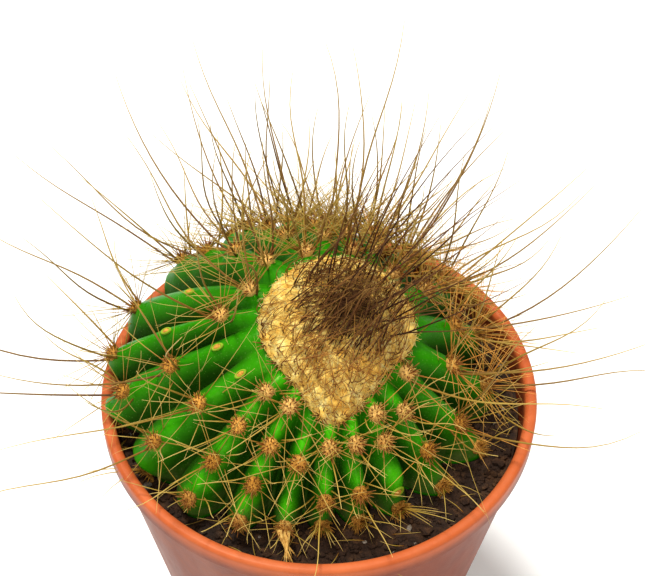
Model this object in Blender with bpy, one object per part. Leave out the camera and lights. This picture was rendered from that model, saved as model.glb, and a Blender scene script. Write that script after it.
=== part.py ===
"""A parodia cactus in a small plant pot.

A ribbed green body, pressed against the back and the left of its pot, leans its woolly
crown to the front and the right. All sizes are in metres, +Z is up, -Y is the front, and the
middle of the pot's base is the origin.
"""
import math
import random

import bmesh
import bpy
import numpy
from mathutils import Vector

# Pot
RIM_RADIUS = 0.045
POT_HEIGHT = 0.079
LIP_WIDTH = 0.0025
LIP_DROP = 0.0046
LIP_STEP = 0.0005
LIP_STEPS = 4
WALL_TOP_RADIUS = 0.0438
BASE_RADIUS = 0.032
WALL = 0.0014
FLOOR = 0.0025
BASE_ROUNDING = 0.0012
BASE_STEPS = 2
POT_SIDES = 56
DRAIN_HOLES = 6
DRAIN_RADIUS = 0.003
DRAIN_CIRCLE = 0.02
DRAIN_SIDES = 12

# Soil
SOIL_TOP = 0.0725
FIT_GAP = 0.00035
SOCKET_GAP = 0.0005
SOIL_RELIEF = 0.0006
SOIL_ROWS = (0.4, 0.75)
SOIL_WAVES = (900.0, 700.0)
SOIL_SHIFT = 3.0

# Cactus body: a half buried ellipsoid with ribs, which leans and is squeezed by the pot
RIBS = 21
BODY_RADIUS = 0.0433
BODY_HALF_HEIGHT = 0.0523
BODY_CENTRE = Vector((-0.0053, 0.0087, 0.0532))
LEAN_RIGHT = math.radians(10.4)
LEAN_FRONT = math.radians(15.4)
RIB_DEPTH = 0.0056
RIB_ROUNDNESS = 1.75
GROOVE_START = 0.75
GROOVE_FADE = math.radians(22.0)
RIB_TWIST = math.radians(7.0)
RIB_TURN = math.radians(3.5)
RIB_CROWDING = math.radians(8.0)
RIB_DRIFT = (math.radians(12.0), math.radians(-122.0), math.radians(30.0))
STEPS_ACROSS_RIB = (0.0, 0.27, 0.5, 0.73)
ROWS_OVER_SOIL = 10
LEFT_SWELLING = (0.0058, math.radians(-64.0), math.radians(36.0))
RIGHT_SWELLING = (0.0034, math.radians(66.0), math.radians(28.0))
FRONT_FLATTENING = (-0.0024, math.radians(6.0), math.radians(38.0))
FLANK_START = math.radians(36.0)
FLANK_END = math.radians(66.0)
ROOM_AT_SOIL = 0.0378
ROOM_GROWTH = 0.55
OVERHANG_START = 0.0795
OVERHANG_GROWTH = 1.4
NECK_DEPTH = 0.028
NECK_ROWS = (0.2, 0.45, 0.7, 0.88)
NECK_FULLNESS = 0.7
LOWEST_SOIL_ANGLE = math.radians(110.0)
HALVINGS = 40
FAT_TUBERCLE_RIB = 2
FAT_TUBERCLE_ANGLE = math.radians(40.1)
FAT_TUBERCLE_HALF_WIDTH = 0.0039
FAT_TUBERCLE_HALF_LENGTH = 0.0072
FAT_TUBERCLE_RISE = 0.0019
FAT_TUBERCLE_FOOT = -0.0062
UPHILL_STEP = math.radians(1.1)

# Woolly crown, in a shallow dish at the top of the body
WOOL_EDGE = math.radians(21.5)
WOOL_TAIL = (math.radians(4.5), math.radians(3.0), math.radians(17.0))
WOOL_LEFT_PINCH = (math.radians(-2.0), math.radians(-42.0), math.radians(26.0))
WOOL_RIGHT_PINCH = (math.radians(-5.0), math.radians(58.0), math.radians(30.0))
WOOL_REAR = (math.radians(2.5), math.radians(165.0), math.radians(55.0))
DISH_DEPTH = 0.0028
DISH_ROUNDNESS = 4
DISH_ROWS = (0.3, 0.55, 0.75, 0.93, 1.0)
WOOL_GAP = 0.0004
WOOL_RISE = 0.0016
WOOL_FULLNESS = 3
WOOL_EDGE_HEIGHT = 0.0003
WOOL_COLUMNS = 42

# Areoles: how far from the crown the first one on each rib is and how far apart they stand, in degrees,
# from the front rib anticlockwise
FIRST_AREOLES = (30, 29, 23, 26, 20, 33, 37, 32, 26, 32, 27, 33, 26, 29, 26, 31, 32, 28, 25, 24, 35)
AREOLE_STEPS = (13, 12, 7, 12, 21, 15, 15, 13, 11, 10, 11, 10, 11, 12, 19, 16, 12, 12, 10, 10, 17)
MISSING_AREOLE = (2, 2)
BARE_AREOLES = {(14, 1), (15, 1), (16, 0), (17, 0), (2, 3)}
LOWEST_AREOLE = SOIL_TOP + 0.0035
AREOLE_RADIUS = 0.0009

# Spines: angles of their rise over the skin are in degrees
SPREADING_SPINES = 3
SPREADING_RISE = (20.0, 34.0)
SPREADING_LENGTH = (0.0095, 0.0165)
STANDING_RISE = (42.0, 74.0)
FRONT_LENGTHS = (0.021, 0.016, 0.013)
FLANK_LENGTHS = (0.044, 0.034, 0.026)
LENGTH_PLAY = (0.82, 1.12)
FRONT_HALF_WIDTH = math.radians(52.0)
GOLDEN_TURN = 0.382
FIRST_TURN = 0.5
TURN_PLAY = 0.06
LEAST_BEND = Vector((-0.28, -0.2, -0.1))
MOST_BEND = Vector((0.32, 0.25, 0.5))
SPINE_RADIUS = 0.00023
SPINE_WAIST = 0.8
SPINE_ROOT = 0.0016
SPINE_SIDES = 3

# Room round the spines, and what a spine that finds none tries next
SPINE_SPACING = 0.0011
CLEAR_OF_POT = 0.0009
CLEAR_INSIDE_RIM = 0.001
CROWN_ROOM = 0.0165
WOOL_CLEARANCE = 0.0032
WOOL_MARGIN = math.radians(1.5)
TEST_STEPS = 8
ATTEMPTS = 14
STEEPER = 4.0
STEEPEST = 86.0
SHORTER = 0.96

# Tuft of dark young spines in the crown
TUFT_SPINES = 72
TUFT_SPREAD = 0.0115
TUFT_BACK = 0.0032
TUFT_ROOT = 0.0008
TUFT_GATHERING = 0.45
TUFT_SPLAY = (0.2, 0.9)
TUFT_COMBING = (0.0, 0.35)
TUFT_WANDER = (-0.28, 0.28)
TUFT_CURL = (0.0, 0.75)
TUFT_DROOP = (0.0, 0.4)
TUFT_LENGTH = (0.015, 0.042)
TUFT_LENGTH_PLAY = (0.7, 1.08)


def unit(vector):
    return vector.normalized()


CROWN_AXIS = Vector((math.sin(LEAN_RIGHT), -math.sin(LEAN_FRONT), 0.0))
CROWN_AXIS.z = math.sqrt(1.0 - CROWN_AXIS.length_squared)
CROWN_FRONT = Vector((0.0, -1.0, 0.0))
CROWN_FRONT = unit(CROWN_FRONT - CROWN_AXIS * CROWN_FRONT.dot(CROWN_AXIS))
CROWN_SIDE = CROWN_AXIS.cross(CROWN_FRONT)
COMBED = unit(CROWN_SIDE * 0.9 - CROWN_FRONT * 0.8)
ACROSS_COMBED = CROWN_AXIS.cross(COMBED)


def clear_scene():
    for item in list(bpy.data.objects):
        bpy.data.objects.remove(item, do_unlink=True)


def plain_material(name, colour, roughness, metallic=0.0):
    material = bpy.data.materials.new(name)
    material.use_nodes = True
    shader = material.node_tree.nodes["Principled BSDF"]
    shader.inputs["Base Color"].default_value = (*colour, 1.0)
    shader.inputs["Roughness"].default_value = roughness
    shader.inputs["Metallic"].default_value = metallic
    return material


def add_object(name, bm, material=None, collection=None):
    """Make an object from a bmesh, with its faces pointing out."""
    bmesh.ops.recalc_face_normals(bm, faces=bm.faces)
    mesh = bpy.data.meshes.new(name)
    bm.to_mesh(mesh)
    bm.free()
    if material:
        mesh.materials.append(material)
    item = bpy.data.objects.new(name, mesh)
    (collection or bpy.context.scene.collection).objects.link(item)
    return item


def shade_round(item, angle):
    item.data.shade_smooth()
    item.data.set_sharp_from_angle(angle=math.radians(angle))


def bridge(bm, upper, lower):
    """Join two closed rows of vertices with triangles."""
    count = len(upper)
    for index in range(count):
        following = (index + 1) % count
        bm.faces.new((upper[index], lower[index], lower[following]))
        bm.faces.new((upper[index], lower[following], upper[following]))


def close_to_point(bm, row, point):
    tip = bm.verts.new(point)
    for index in range(len(row)):
        bm.faces.new((row[index], row[(index + 1) % len(row)], tip))


# Pot


def wall_radius(height):
    """Outer radius of the tapered wall at a height."""
    share = height / (POT_HEIGHT - LIP_DROP)
    return BASE_RADIUS + (WALL_TOP_RADIUS - BASE_RADIUS) * share


def inner_radius(height):
    return wall_radius(height) - WALL


def arc(centre, radius, start, end, steps):
    """Points of an arc in a half section, between two angles in degrees."""
    for step in range(steps + 1):
        turn = math.radians(start + (end - start) * step / steps)
        yield centre[0] + radius * math.cos(turn), centre[1] + radius * math.sin(turn)


def pot_profile():
    """Half section of the pot, from its underside up round the lip and down to its inner floor."""
    under_lip = POT_HEIGHT - LIP_DROP
    half_lip = LIP_WIDTH / 2
    profile = list(arc((BASE_RADIUS - BASE_ROUNDING, BASE_ROUNDING), BASE_ROUNDING, -90.0, 0.0, BASE_STEPS))
    profile.append((wall_radius(under_lip), under_lip))
    profile.append((RIM_RADIUS, under_lip + LIP_STEP))
    profile += arc((RIM_RADIUS - half_lip, POT_HEIGHT - half_lip), half_lip, 0.0, 180.0, LIP_STEPS)
    profile.append((inner_radius(under_lip), under_lip))
    profile.append((inner_radius(FLOOR), FLOOR))
    return profile


def make_pot():
    bm = bmesh.new()
    rows = []
    for radius, height in pot_profile():
        row = []
        for side in range(POT_SIDES):
            turn = 2 * math.pi * side / POT_SIDES
            row.append(bm.verts.new((radius * math.cos(turn), radius * math.sin(turn), height)))
        rows.append(row)
    for lower, upper in zip(rows, rows[1:]):
        bridge(bm, upper, lower)
    bm.faces.new(rows[0])
    bm.faces.new(rows[-1])
    pot = add_object("pot", bm, plain_material("coral plastic", (0.62, 0.17, 0.08), 0.5))
    drill_drain_holes(pot)
    shade_round(pot, 40.0)


def drill_drain_holes(pot):
    """Cut the ring of drain holes through the floor."""
    bm = bmesh.new()
    for number in range(DRAIN_HOLES):
        turn = 2 * math.pi * number / DRAIN_HOLES
        drill = bmesh.ops.create_cone(
            bm, cap_ends=True, segments=DRAIN_SIDES, depth=4 * FLOOR, radius1=DRAIN_RADIUS,
            radius2=DRAIN_RADIUS
        )
        place = Vector((DRAIN_CIRCLE * math.cos(turn), DRAIN_CIRCLE * math.sin(turn), FLOOR / 2))
        bmesh.ops.translate(bm, verts=drill["verts"], vec=place)
    drills = add_object("drain_drills", bm)
    cut = pot.modifiers.new("drain holes", "BOOLEAN")
    cut.operation = "DIFFERENCE"
    cut.object = drills
    apply_modifiers(pot)
    bpy.data.objects.remove(drills, do_unlink=True)


def apply_modifiers(item):
    """Bake an object's modifiers into its mesh."""
    bpy.context.view_layer.update()
    evaluated = item.evaluated_get(bpy.context.evaluated_depsgraph_get())
    baked = bpy.data.meshes.new_from_object(evaluated)
    item.modifiers.clear()
    item.data = baked


# Skin of the cactus


def bell(heading, middle, width):
    """A smooth bump round a heading, 1 at its middle."""
    return math.exp(-((math.remainder(heading - middle, 2 * math.pi) / width) ** 2))


def rib_heading(rib):
    """Direction of a rib round the crown: closer at the front and the back, and drifted forward at the back left."""
    even = 2 * math.pi * rib / RIBS
    heading = even + RIB_TURN - RIB_CROWDING * math.sin(2 * even + RIB_CROWDING)
    amount, middle, width = RIB_DRIFT
    return heading + amount * bell(heading, middle, width)


def wool_reach(heading):
    """Angle from the crown at which the wool ends: it has a tail at the front and is narrow beside it."""
    reach = WOOL_EDGE
    for amount, middle, width in (WOOL_TAIL, WOOL_LEFT_PINCH, WOOL_RIGHT_PINCH, WOOL_REAR):
        reach += amount * bell(heading, middle, width)
    return reach


def wool_edge(rib):
    return wool_reach(rib_heading(rib))


def smooth_step(value, start, end):
    share = min(1.0, max(0.0, (value - start) / (end - start)))
    return share * share * (3.0 - 2.0 * share)


def sink(rib, angle):
    """How far the skin lies below the plain ellipsoid: the grooves and the crown's dish."""
    across = abs(rib - round(rib)) * 2.0
    edge = wool_edge(rib)
    groove = RIB_DEPTH * across ** RIB_ROUNDNESS * smooth_step(angle, edge * GROOVE_START, edge + GROOVE_FADE)
    dish = DISH_DEPTH * max(0.0, 1.0 - (angle / edge) ** DISH_ROUNDNESS)
    return groove + dish


def room(height):
    """Largest distance from the pot's axis that the skin has at a height, inside or over the rim."""
    inside = ROOM_AT_SOIL + ROOM_GROWTH * (min(height, OVERHANG_START) - SOIL_TOP)
    return inside + OVERHANG_GROWTH * max(0.0, height - OVERHANG_START)


def swelling(heading, angle):
    """How far the flank stands out to the left and the right, or is flatter at the front."""
    amount = 0.0
    for height, middle, width in (LEFT_SWELLING, RIGHT_SWELLING, FRONT_FLATTENING):
        amount += height * bell(heading, middle, width)
    return amount * smooth_step(angle, FLANK_START, FLANK_END)


def plain_point(rib, angle):
    """Point and outward direction on the ellipsoid that the rib tops lie on."""
    heading = rib_heading(rib) + RIB_TWIST * (angle - math.pi / 4) / (math.pi / 4)
    outward = CROWN_FRONT * math.cos(heading) + CROWN_SIDE * math.sin(heading)
    across = math.sin(angle)
    along = math.cos(angle)
    radius = BODY_RADIUS * across + swelling(heading, angle)
    point = BODY_CENTRE + outward * radius + CROWN_AXIS * (BODY_HALF_HEIGHT * along)
    normal = unit(outward * (across / BODY_RADIUS) + CROWN_AXIS * (along / BODY_HALF_HEIGHT))
    return point, normal


FAT_MIDDLE, FAT_OUTWARD = plain_point(FAT_TUBERCLE_RIB, FAT_TUBERCLE_ANGLE)
FAT_UPHILL = unit(plain_point(FAT_TUBERCLE_RIB, FAT_TUBERCLE_ANGLE - UPHILL_STEP)[0] - FAT_MIDDLE)
FAT_ACROSS = FAT_OUTWARD.cross(FAT_UPHILL)


def fat_tubercle(crest):
    """Height over the ribs' crests of the one fat egg-shaped tubercle, or its foot's level beside it."""
    offset = crest - FAT_MIDDLE
    along = offset.dot(FAT_UPHILL) / FAT_TUBERCLE_HALF_LENGTH
    across = offset.dot(FAT_ACROSS) / FAT_TUBERCLE_HALF_WIDTH
    dome = math.sqrt(max(0.0, 1.0 - along * along - across * across))
    return FAT_TUBERCLE_FOOT + (FAT_TUBERCLE_RISE - FAT_TUBERCLE_FOOT) * dome


def skin_point(rib, angle, lift=0.0):
    """Point of the ribbed skin, or lift above the ellipsoid's dish."""
    crest, normal = plain_point(rib, angle)
    point = crest + normal * (lift + max(-sink(rib, angle), fat_tubercle(crest)))
    reach = math.hypot(crest.x, crest.y)
    squeeze = min(1.0, room(crest.z) / reach)
    return Vector((point.x * squeeze, point.y * squeeze, point.z))


def soil_angle(rib):
    """Angle from the crown at which the skin goes into the soil."""
    above, below = wool_edge(rib), LOWEST_SOIL_ANGLE
    for _ in range(HALVINGS):
        middle = (above + below) / 2
        if skin_point(rib, middle).z > SOIL_TOP:
            above = middle
        else:
            below = middle
    return (above + below) / 2


def rib_numbers():
    return [rib + step for rib in range(RIBS) for step in STEPS_ACROSS_RIB]


def soil_line():
    """The closed line where the body goes into the soil."""
    line = [skin_point(rib, soil_angle(rib)) for rib in rib_numbers()]
    for point in line:
        point.z = SOIL_TOP
    return line


def widened(line, gap):
    """The same closed line, moved outward by a gap."""
    moved = []
    for index, point in enumerate(line):
        along = line[(index + 1) % len(line)] - line[index - 1]
        moved.append(point + unit(Vector((along.y, -along.x, 0.0))) * gap)
    return moved


def neck_rows(line, depth):
    """Rows of the buried neck below a line at the soil's level, and its lowest point."""
    middle = sum(line, Vector()) / len(line)
    rows = []
    for share in NECK_ROWS:
        turn = share * math.pi / 2
        narrowing = math.cos(turn) ** NECK_FULLNESS
        drop = Vector((0.0, 0.0, -depth * math.sin(turn)))
        rows.append([middle + (point - middle) * narrowing + drop for point in line])
    return rows, middle - Vector((0.0, 0.0, depth))


def make_body_mesh():
    bm = bmesh.new()
    numbers = rib_numbers()
    rows = [[skin_point(rib, wool_edge(rib) * share) for rib in numbers] for share in DISH_ROWS]
    ends = [soil_angle(rib) for rib in numbers]
    for step in range(1, ROWS_OVER_SOIL):
        share = step / ROWS_OVER_SOIL
        row = []
        for rib, end in zip(numbers, ends):
            start = wool_edge(rib)
            row.append(skin_point(rib, start + (end - start) * share))
        rows.append(row)
    line = soil_line()
    rows.append(line)
    buried, lowest = neck_rows(line, NECK_DEPTH)
    rows += buried
    rows = [[bm.verts.new(point) for point in row] for row in rows]
    for upper, lower in zip(rows, rows[1:]):
        bridge(bm, upper, lower)
    close_to_point(bm, rows[0], skin_point(0, 0.0))
    close_to_point(bm, rows[-1], lowest)
    return bm


# Soil


def make_soil():
    """The peat plug: a tapered block with an uneven top and a plain socket for the body's neck."""
    bm = bmesh.new()
    line = widened(soil_line(), SOCKET_GAP)
    rows, lowest = neck_rows(line, NECK_DEPTH + SOCKET_GAP)
    rows.reverse()
    rows.append(line)
    edge = []
    for point in line:
        outward = unit(Vector((point.x, point.y, 0.0)))
        edge.append(outward * (inner_radius(SOIL_TOP) - FIT_GAP) + Vector((0.0, 0.0, SOIL_TOP)))
    for share in SOIL_ROWS:
        row = []
        for inner, outer in zip(line, edge):
            point = inner.lerp(outer, share)
            wave = math.sin(SOIL_WAVES[0] * point.x + SOIL_SHIFT * share) * math.cos(SOIL_WAVES[1] * point.y)
            point.z += SOIL_RELIEF * wave
            row.append(point)
        rows.append(row)
    rows.append(edge)
    foot = FLOOR + FIT_GAP
    narrowing = (inner_radius(foot) - FIT_GAP) / (inner_radius(SOIL_TOP) - FIT_GAP)
    rows.append([Vector((point.x * narrowing, point.y * narrowing, foot)) for point in edge])
    rows = [[bm.verts.new(point) for point in row] for row in rows]
    for lower, upper in zip(rows, rows[1:]):
        bridge(bm, upper, lower)
    close_to_point(bm, rows[0], lowest)
    bm.faces.new(rows[-1])
    soil = add_object("soil", bm, plain_material("dark peat", (0.03, 0.022, 0.017), 0.95))
    shade_round(soil, 35.0)


# Spines


def spine_gap(start, end, others):
    """Shortest distance between one straight run and each of many, given as start and end rows."""
    first, last = numpy.array(start), numpy.array(end)
    run = last - first
    runs = others[:, 3:] - others[:, :3]
    offset = first - others[:, :3]
    run_length = run @ run
    run_lengths = numpy.einsum("ij,ij->i", runs, runs)
    both = runs @ run
    to_run = offset @ run
    to_runs = numpy.einsum("ij,ij->i", runs, offset)
    spread = numpy.maximum(run_length * run_lengths - both * both, 1e-20)
    along = numpy.clip((both * to_runs - to_run * run_lengths) / spread, 0.0, 1.0)
    along_others = numpy.clip((both * along + to_runs) / run_lengths, 0.0, 1.0)
    along = numpy.clip((both * along_others - to_run) / run_length, 0.0, 1.0)
    apart = offset + along[:, None] * run - along_others[:, None] * runs
    return numpy.sqrt((apart * apart).sum(axis=1)).min()


def spine_path(root, direction, length, bend):
    """Root, middle and tip of a spine that leaves in a direction and bends on its way."""
    middle = root + direction * (length * 0.5)
    tip = middle + unit(direction + bend) * (length * 0.5)
    return [root, middle, tip]


def in_crown(point):
    """Whether a point is in the wool, just over it, or in the room over the crown's middle."""
    offset = point - BODY_CENTRE
    along = offset.dot(CROWN_AXIS)
    outward = offset - CROWN_AXIS * along
    if outward.length < CROWN_ROOM:
        return True
    heading = math.atan2(outward.dot(CROWN_SIDE), outward.dot(CROWN_FRONT))
    across, along = outward.length / BODY_RADIUS, along / BODY_HALF_HEIGHT
    height = (math.hypot(across, along) - 1.0) * BODY_HALF_HEIGHT
    return math.atan2(across, along) < wool_reach(heading) + WOOL_MARGIN and height < WOOL_CLEARANCE


def is_free(path):
    """Whether a spine passes over the soil and the rim, and keeps out of the crown."""
    over_rim = RIM_RADIUS + CLEAR_OF_POT
    for start, end in zip(path, path[1:]):
        for step in range(1, TEST_STEPS + 1):
            point = start.lerp(end, step / TEST_STEPS)
            reach = math.hypot(point.x, point.y)
            near_rim = reach > inner_radius(SOIL_TOP) - CLEAR_INSIDE_RIM
            floor = POT_HEIGHT if near_rim else SOIL_TOP
            if reach < over_rim and point.z < floor + CLEAR_OF_POT:
                return False
            if in_crown(point):
                return False
    return True


class SpineBook:
    """The spines placed so far, so that a new one keeps clear of those of other areoles."""

    def __init__(self):
        self.runs = []
        self.owners = []

    def is_clear(self, path, owner):
        others = [run for run, name in zip(self.runs, self.owners) if name != owner]
        if not others:
            return True
        table = numpy.array(others)
        return all(spine_gap(start, end, table) > SPINE_SPACING for start, end in zip(path, path[1:]))

    def add(self, path, owner):
        for start, end in zip(path, path[1:]):
            self.runs.append((*start, *end))
            self.owners.append(owner)


def areole_places():
    """Rib, number on the rib, and angle from the crown of every areole above the soil."""
    places = []
    for rib, (first, step) in enumerate(zip(FIRST_AREOLES, AREOLE_STEPS)):
        angle = math.radians(first)
        number = 0
        while skin_point(rib, angle).z > LOWEST_AREOLE:
            if (rib, number) != MISSING_AREOLE:
                places.append((rib, number, angle))
            angle += math.radians(step)
            number += 1
    return places


class Areole:
    """A cushion on a rib: its place, its directions, and its own draw of random numbers."""

    def __init__(self, rib, number, angle):
        self.name = (rib, number)
        self.place = skin_point(rib, angle)
        self.uphill = unit(skin_point(rib, angle - UPHILL_STEP) - self.place)
        _, normal = plain_point(rib, angle)
        self.outward = unit(normal - self.uphill * normal.dot(self.uphill))
        self.across = self.outward.cross(self.uphill)
        at_front = abs(math.remainder(rib_heading(rib), 2 * math.pi)) < FRONT_HALF_WIDTH
        self.lengths = FRONT_LENGTHS if at_front else FLANK_LENGTHS
        self.draw = random.Random(1000 * rib + number)

    def root_and_aim(self, turn, rise):
        flat = self.uphill * math.cos(turn) + self.across * math.sin(turn)
        root = self.place - self.outward * SPINE_ROOT + flat * AREOLE_RADIUS
        steepness = math.radians(min(rise, STEEPEST))
        return root, unit(flat * math.cos(steepness) + self.outward * math.sin(steepness))

    def standing_spine(self, index, turn, attempt):
        """A long bent spine. Later attempts are steeper and shorter."""
        root, aim = self.root_and_aim(turn, self.draw.uniform(*STANDING_RISE) + STEEPER * attempt)
        length = self.lengths[index] * self.draw.uniform(*LENGTH_PLAY) * SHORTER ** attempt
        bend = Vector(self.draw.uniform(least, most) for least, most in zip(LEAST_BEND, MOST_BEND))
        return spine_path(root, aim, length, bend)

    def spreading_spine(self, turn, attempt):
        """A short straight spine, close to the skin."""
        root, aim = self.root_and_aim(turn, self.draw.uniform(*SPREADING_RISE) + STEEPER * attempt)
        return [root, root + aim * (self.draw.uniform(*SPREADING_LENGTH) * SHORTER ** attempt)]

    def spines(self, book):
        """The spines that find room, which are written in the book."""
        for index in range(len(self.lengths) + SPREADING_SPINES):
            turn = 2 * math.pi * (FIRST_TURN + index * GOLDEN_TURN + self.draw.uniform(-TURN_PLAY, TURN_PLAY))
            for attempt in range(ATTEMPTS):
                if index < len(self.lengths):
                    path = self.standing_spine(index, turn, attempt)
                else:
                    path = self.spreading_spine(turn, attempt)
                if is_free(path) and book.is_clear(path, self.name):
                    book.add(path, self.name)
                    yield path
                    break


def make_spine(path, collection, material):
    """A slim straight or bent spine with few sides, which comes to a point."""
    bm = bmesh.new()
    rows = []
    aim = unit(path[-1] - path[0])
    side = unit(aim.orthogonal())
    for point, share in zip(path[:-1], (1.0, SPINE_WAIST)):
        row = []
        for number in range(SPINE_SIDES):
            turn = 2 * math.pi * number / SPINE_SIDES
            offset = side * math.cos(turn) + aim.cross(side) * math.sin(turn)
            row.append(bm.verts.new(point + offset * (SPINE_RADIUS * share)))
        rows.append(row)
    for lower, upper in zip(rows, rows[1:]):
        bridge(bm, lower, upper)
    close_to_point(bm, rows[-1], path[-1])
    bm.faces.new(rows[0])
    add_object("spine", bm, material, collection)


def fuse(item, collection):
    """Join a collection's pieces to an object as one solid, and remove them."""
    union = item.modifiers.new("fuse", "BOOLEAN")
    union.operation = "UNION"
    union.operand_type = "COLLECTION"
    union.collection = collection
    union.solver = "MANIFOLD"
    apply_modifiers(item)
    for piece in list(collection.objects):
        bpy.data.objects.remove(piece, do_unlink=True)
    bpy.data.collections.remove(collection)


def new_collection(name):
    collection = bpy.data.collections.new(name)
    bpy.context.scene.collection.children.link(collection)
    return collection


def make_cactus_body(book):
    green = plain_material("green skin", (0.07, 0.24, 0.015), 0.35)
    body = add_object("cactus_body", make_body_mesh(), green)
    pieces = new_collection("body spines")
    for rib, number, angle in areole_places():
        if (rib, number) not in BARE_AREOLES:
            for path in Areole(rib, number, angle).spines(book):
                make_spine(path, pieces, green)
    fuse(body, pieces)
    shade_round(body, 50.0)


# Crown


def wool_point(rib, share, lift):
    """Point of the wool cushion: share runs from its middle to its edge."""
    angle = wool_edge(rib) * share
    crest, normal = plain_point(rib, angle)
    return crest + normal * lift


def make_wool_mesh():
    bm = bmesh.new()
    numbers = [RIBS * column / WOOL_COLUMNS for column in range(WOOL_COLUMNS)]
    shares = [share for share in DISH_ROWS if share < 1.0]
    top_rows = []
    under_rows = []
    for share in shares:
        top = WOOL_EDGE_HEIGHT + WOOL_RISE * (1.0 - share ** WOOL_FULLNESS)
        under = WOOL_GAP - DISH_DEPTH * (1.0 - share ** DISH_ROUNDNESS)
        top_rows.append([bm.verts.new(wool_point(rib, share, top)) for rib in numbers])
        under_rows.append([bm.verts.new(wool_point(rib, share, under)) for rib in numbers])
    for upper, lower in zip(top_rows, top_rows[1:]):
        bridge(bm, upper, lower)
    bridge(bm, top_rows[-1], under_rows[-1])
    for upper, lower in zip(under_rows[::-1], under_rows[-2::-1]):
        bridge(bm, upper, lower)
    close_to_point(bm, top_rows[0], wool_point(0, 0.0, WOOL_EDGE_HEIGHT + WOOL_RISE))
    close_to_point(bm, under_rows[0], wool_point(0, 0.0, WOOL_GAP - DISH_DEPTH))
    return bm


def tuft_spine(draw, number, attempt):
    """One dark young spine of the crown. All lean to the back right, and the longest stand on that side."""
    turn = 2 * math.pi * number * GOLDEN_TURN
    flat = CROWN_FRONT * math.cos(turn) + CROWN_SIDE * math.sin(turn)
    aside = flat * (TUFT_SPREAD * math.sqrt((number + 0.5) / TUFT_SPINES)) - CROWN_FRONT * TUFT_BACK
    height = BODY_HALF_HEIGHT * math.sqrt(1.0 - aside.length_squared / BODY_RADIUS ** 2)
    foot = BODY_CENTRE + aside + CROWN_AXIS * (height - TUFT_ROOT)
    share = (1.0 + flat.dot(COMBED)) / 2
    splay = share * draw.uniform(*TUFT_SPLAY) - (1.0 - share) * TUFT_GATHERING
    aside_aim = COMBED * draw.uniform(*TUFT_COMBING) + ACROSS_COMBED * draw.uniform(*TUFT_WANDER)
    aim = unit(CROWN_AXIS + flat * splay + aside_aim)
    bend = COMBED * draw.uniform(*TUFT_CURL) - CROWN_AXIS * draw.uniform(*TUFT_DROOP)
    least, most = TUFT_LENGTH
    length = (least + (most - least) * share * share) * draw.uniform(*TUFT_LENGTH_PLAY)
    return spine_path(foot, aim, length * SHORTER ** attempt, bend)


def make_crown(book):
    cream = plain_material("cream wool", (0.72, 0.58, 0.4), 0.9)
    wool = add_object("crown_wool", make_wool_mesh(), cream)
    pieces = new_collection("crown spines")
    draw = random.Random(77)
    for number in range(TUFT_SPINES):
        for attempt in range(ATTEMPTS):
            path = tuft_spine(draw, number, attempt)
            if book.is_clear(path, "crown"):
                book.add(path, "crown")
                make_spine(path, pieces, cream)
                break
    fuse(wool, pieces)
    shade_round(wool, 50.0)


clear_scene()
make_pot()
make_soil()
spine_book = SpineBook()
make_cactus_body(spine_book)
make_crown(spine_book)
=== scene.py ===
"""A parodia cactus in a small plant pot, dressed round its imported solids."""

import math
import random

import bmesh
import bpy
import numpy
from mathutils import Matrix, Vector, noise


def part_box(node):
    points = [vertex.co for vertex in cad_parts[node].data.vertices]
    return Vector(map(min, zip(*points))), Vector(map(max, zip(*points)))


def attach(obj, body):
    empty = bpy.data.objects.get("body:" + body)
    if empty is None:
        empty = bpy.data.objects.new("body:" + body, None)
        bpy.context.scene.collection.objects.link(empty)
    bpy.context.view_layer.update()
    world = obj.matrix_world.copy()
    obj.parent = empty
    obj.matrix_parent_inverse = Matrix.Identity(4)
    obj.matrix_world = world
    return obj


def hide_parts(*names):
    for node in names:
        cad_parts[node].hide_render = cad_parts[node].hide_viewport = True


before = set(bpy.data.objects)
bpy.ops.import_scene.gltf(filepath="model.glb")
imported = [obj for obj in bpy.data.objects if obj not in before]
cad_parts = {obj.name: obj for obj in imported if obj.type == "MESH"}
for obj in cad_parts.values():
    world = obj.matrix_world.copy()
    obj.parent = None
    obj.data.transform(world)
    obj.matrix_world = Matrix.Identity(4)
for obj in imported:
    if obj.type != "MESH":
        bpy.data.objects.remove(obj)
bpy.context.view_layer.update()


# The pot. A thin-walled nursery pot, moulded in one shot from coral plastic, with a rolled lip that
# stiffens its mouth and a ring of drain holes in its floor. It is a little dusty from the nursery.
POT_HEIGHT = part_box("pot")[1].z
RIM_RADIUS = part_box("pot")[1].x
LIP_WIDTH = 0.0025
LIP_DROP = 0.0046
WALL_TOP_RADIUS = 0.0438
BASE_RADIUS = 0.032
WALL = 0.0014
FLOOR = 0.0025
CORNER = 0.0009
LIP_CREASE = 0.0004
LIP_EDGE = 0.0003
LIP_OUTER_ROUNDING = 0.7
# Depths under the rim over which the painted light on the lip's top fades into the painted shade of the wall.
PAINTED_LIT_LIP_BAND = (0.0036, 0.0014)
POT_SIDES = 176
DRAIN_HOLES = 6
DRAIN_RADIUS = 0.003
DRAIN_CIRCLE = 0.02
DRAIN_SIDES = 32


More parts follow.
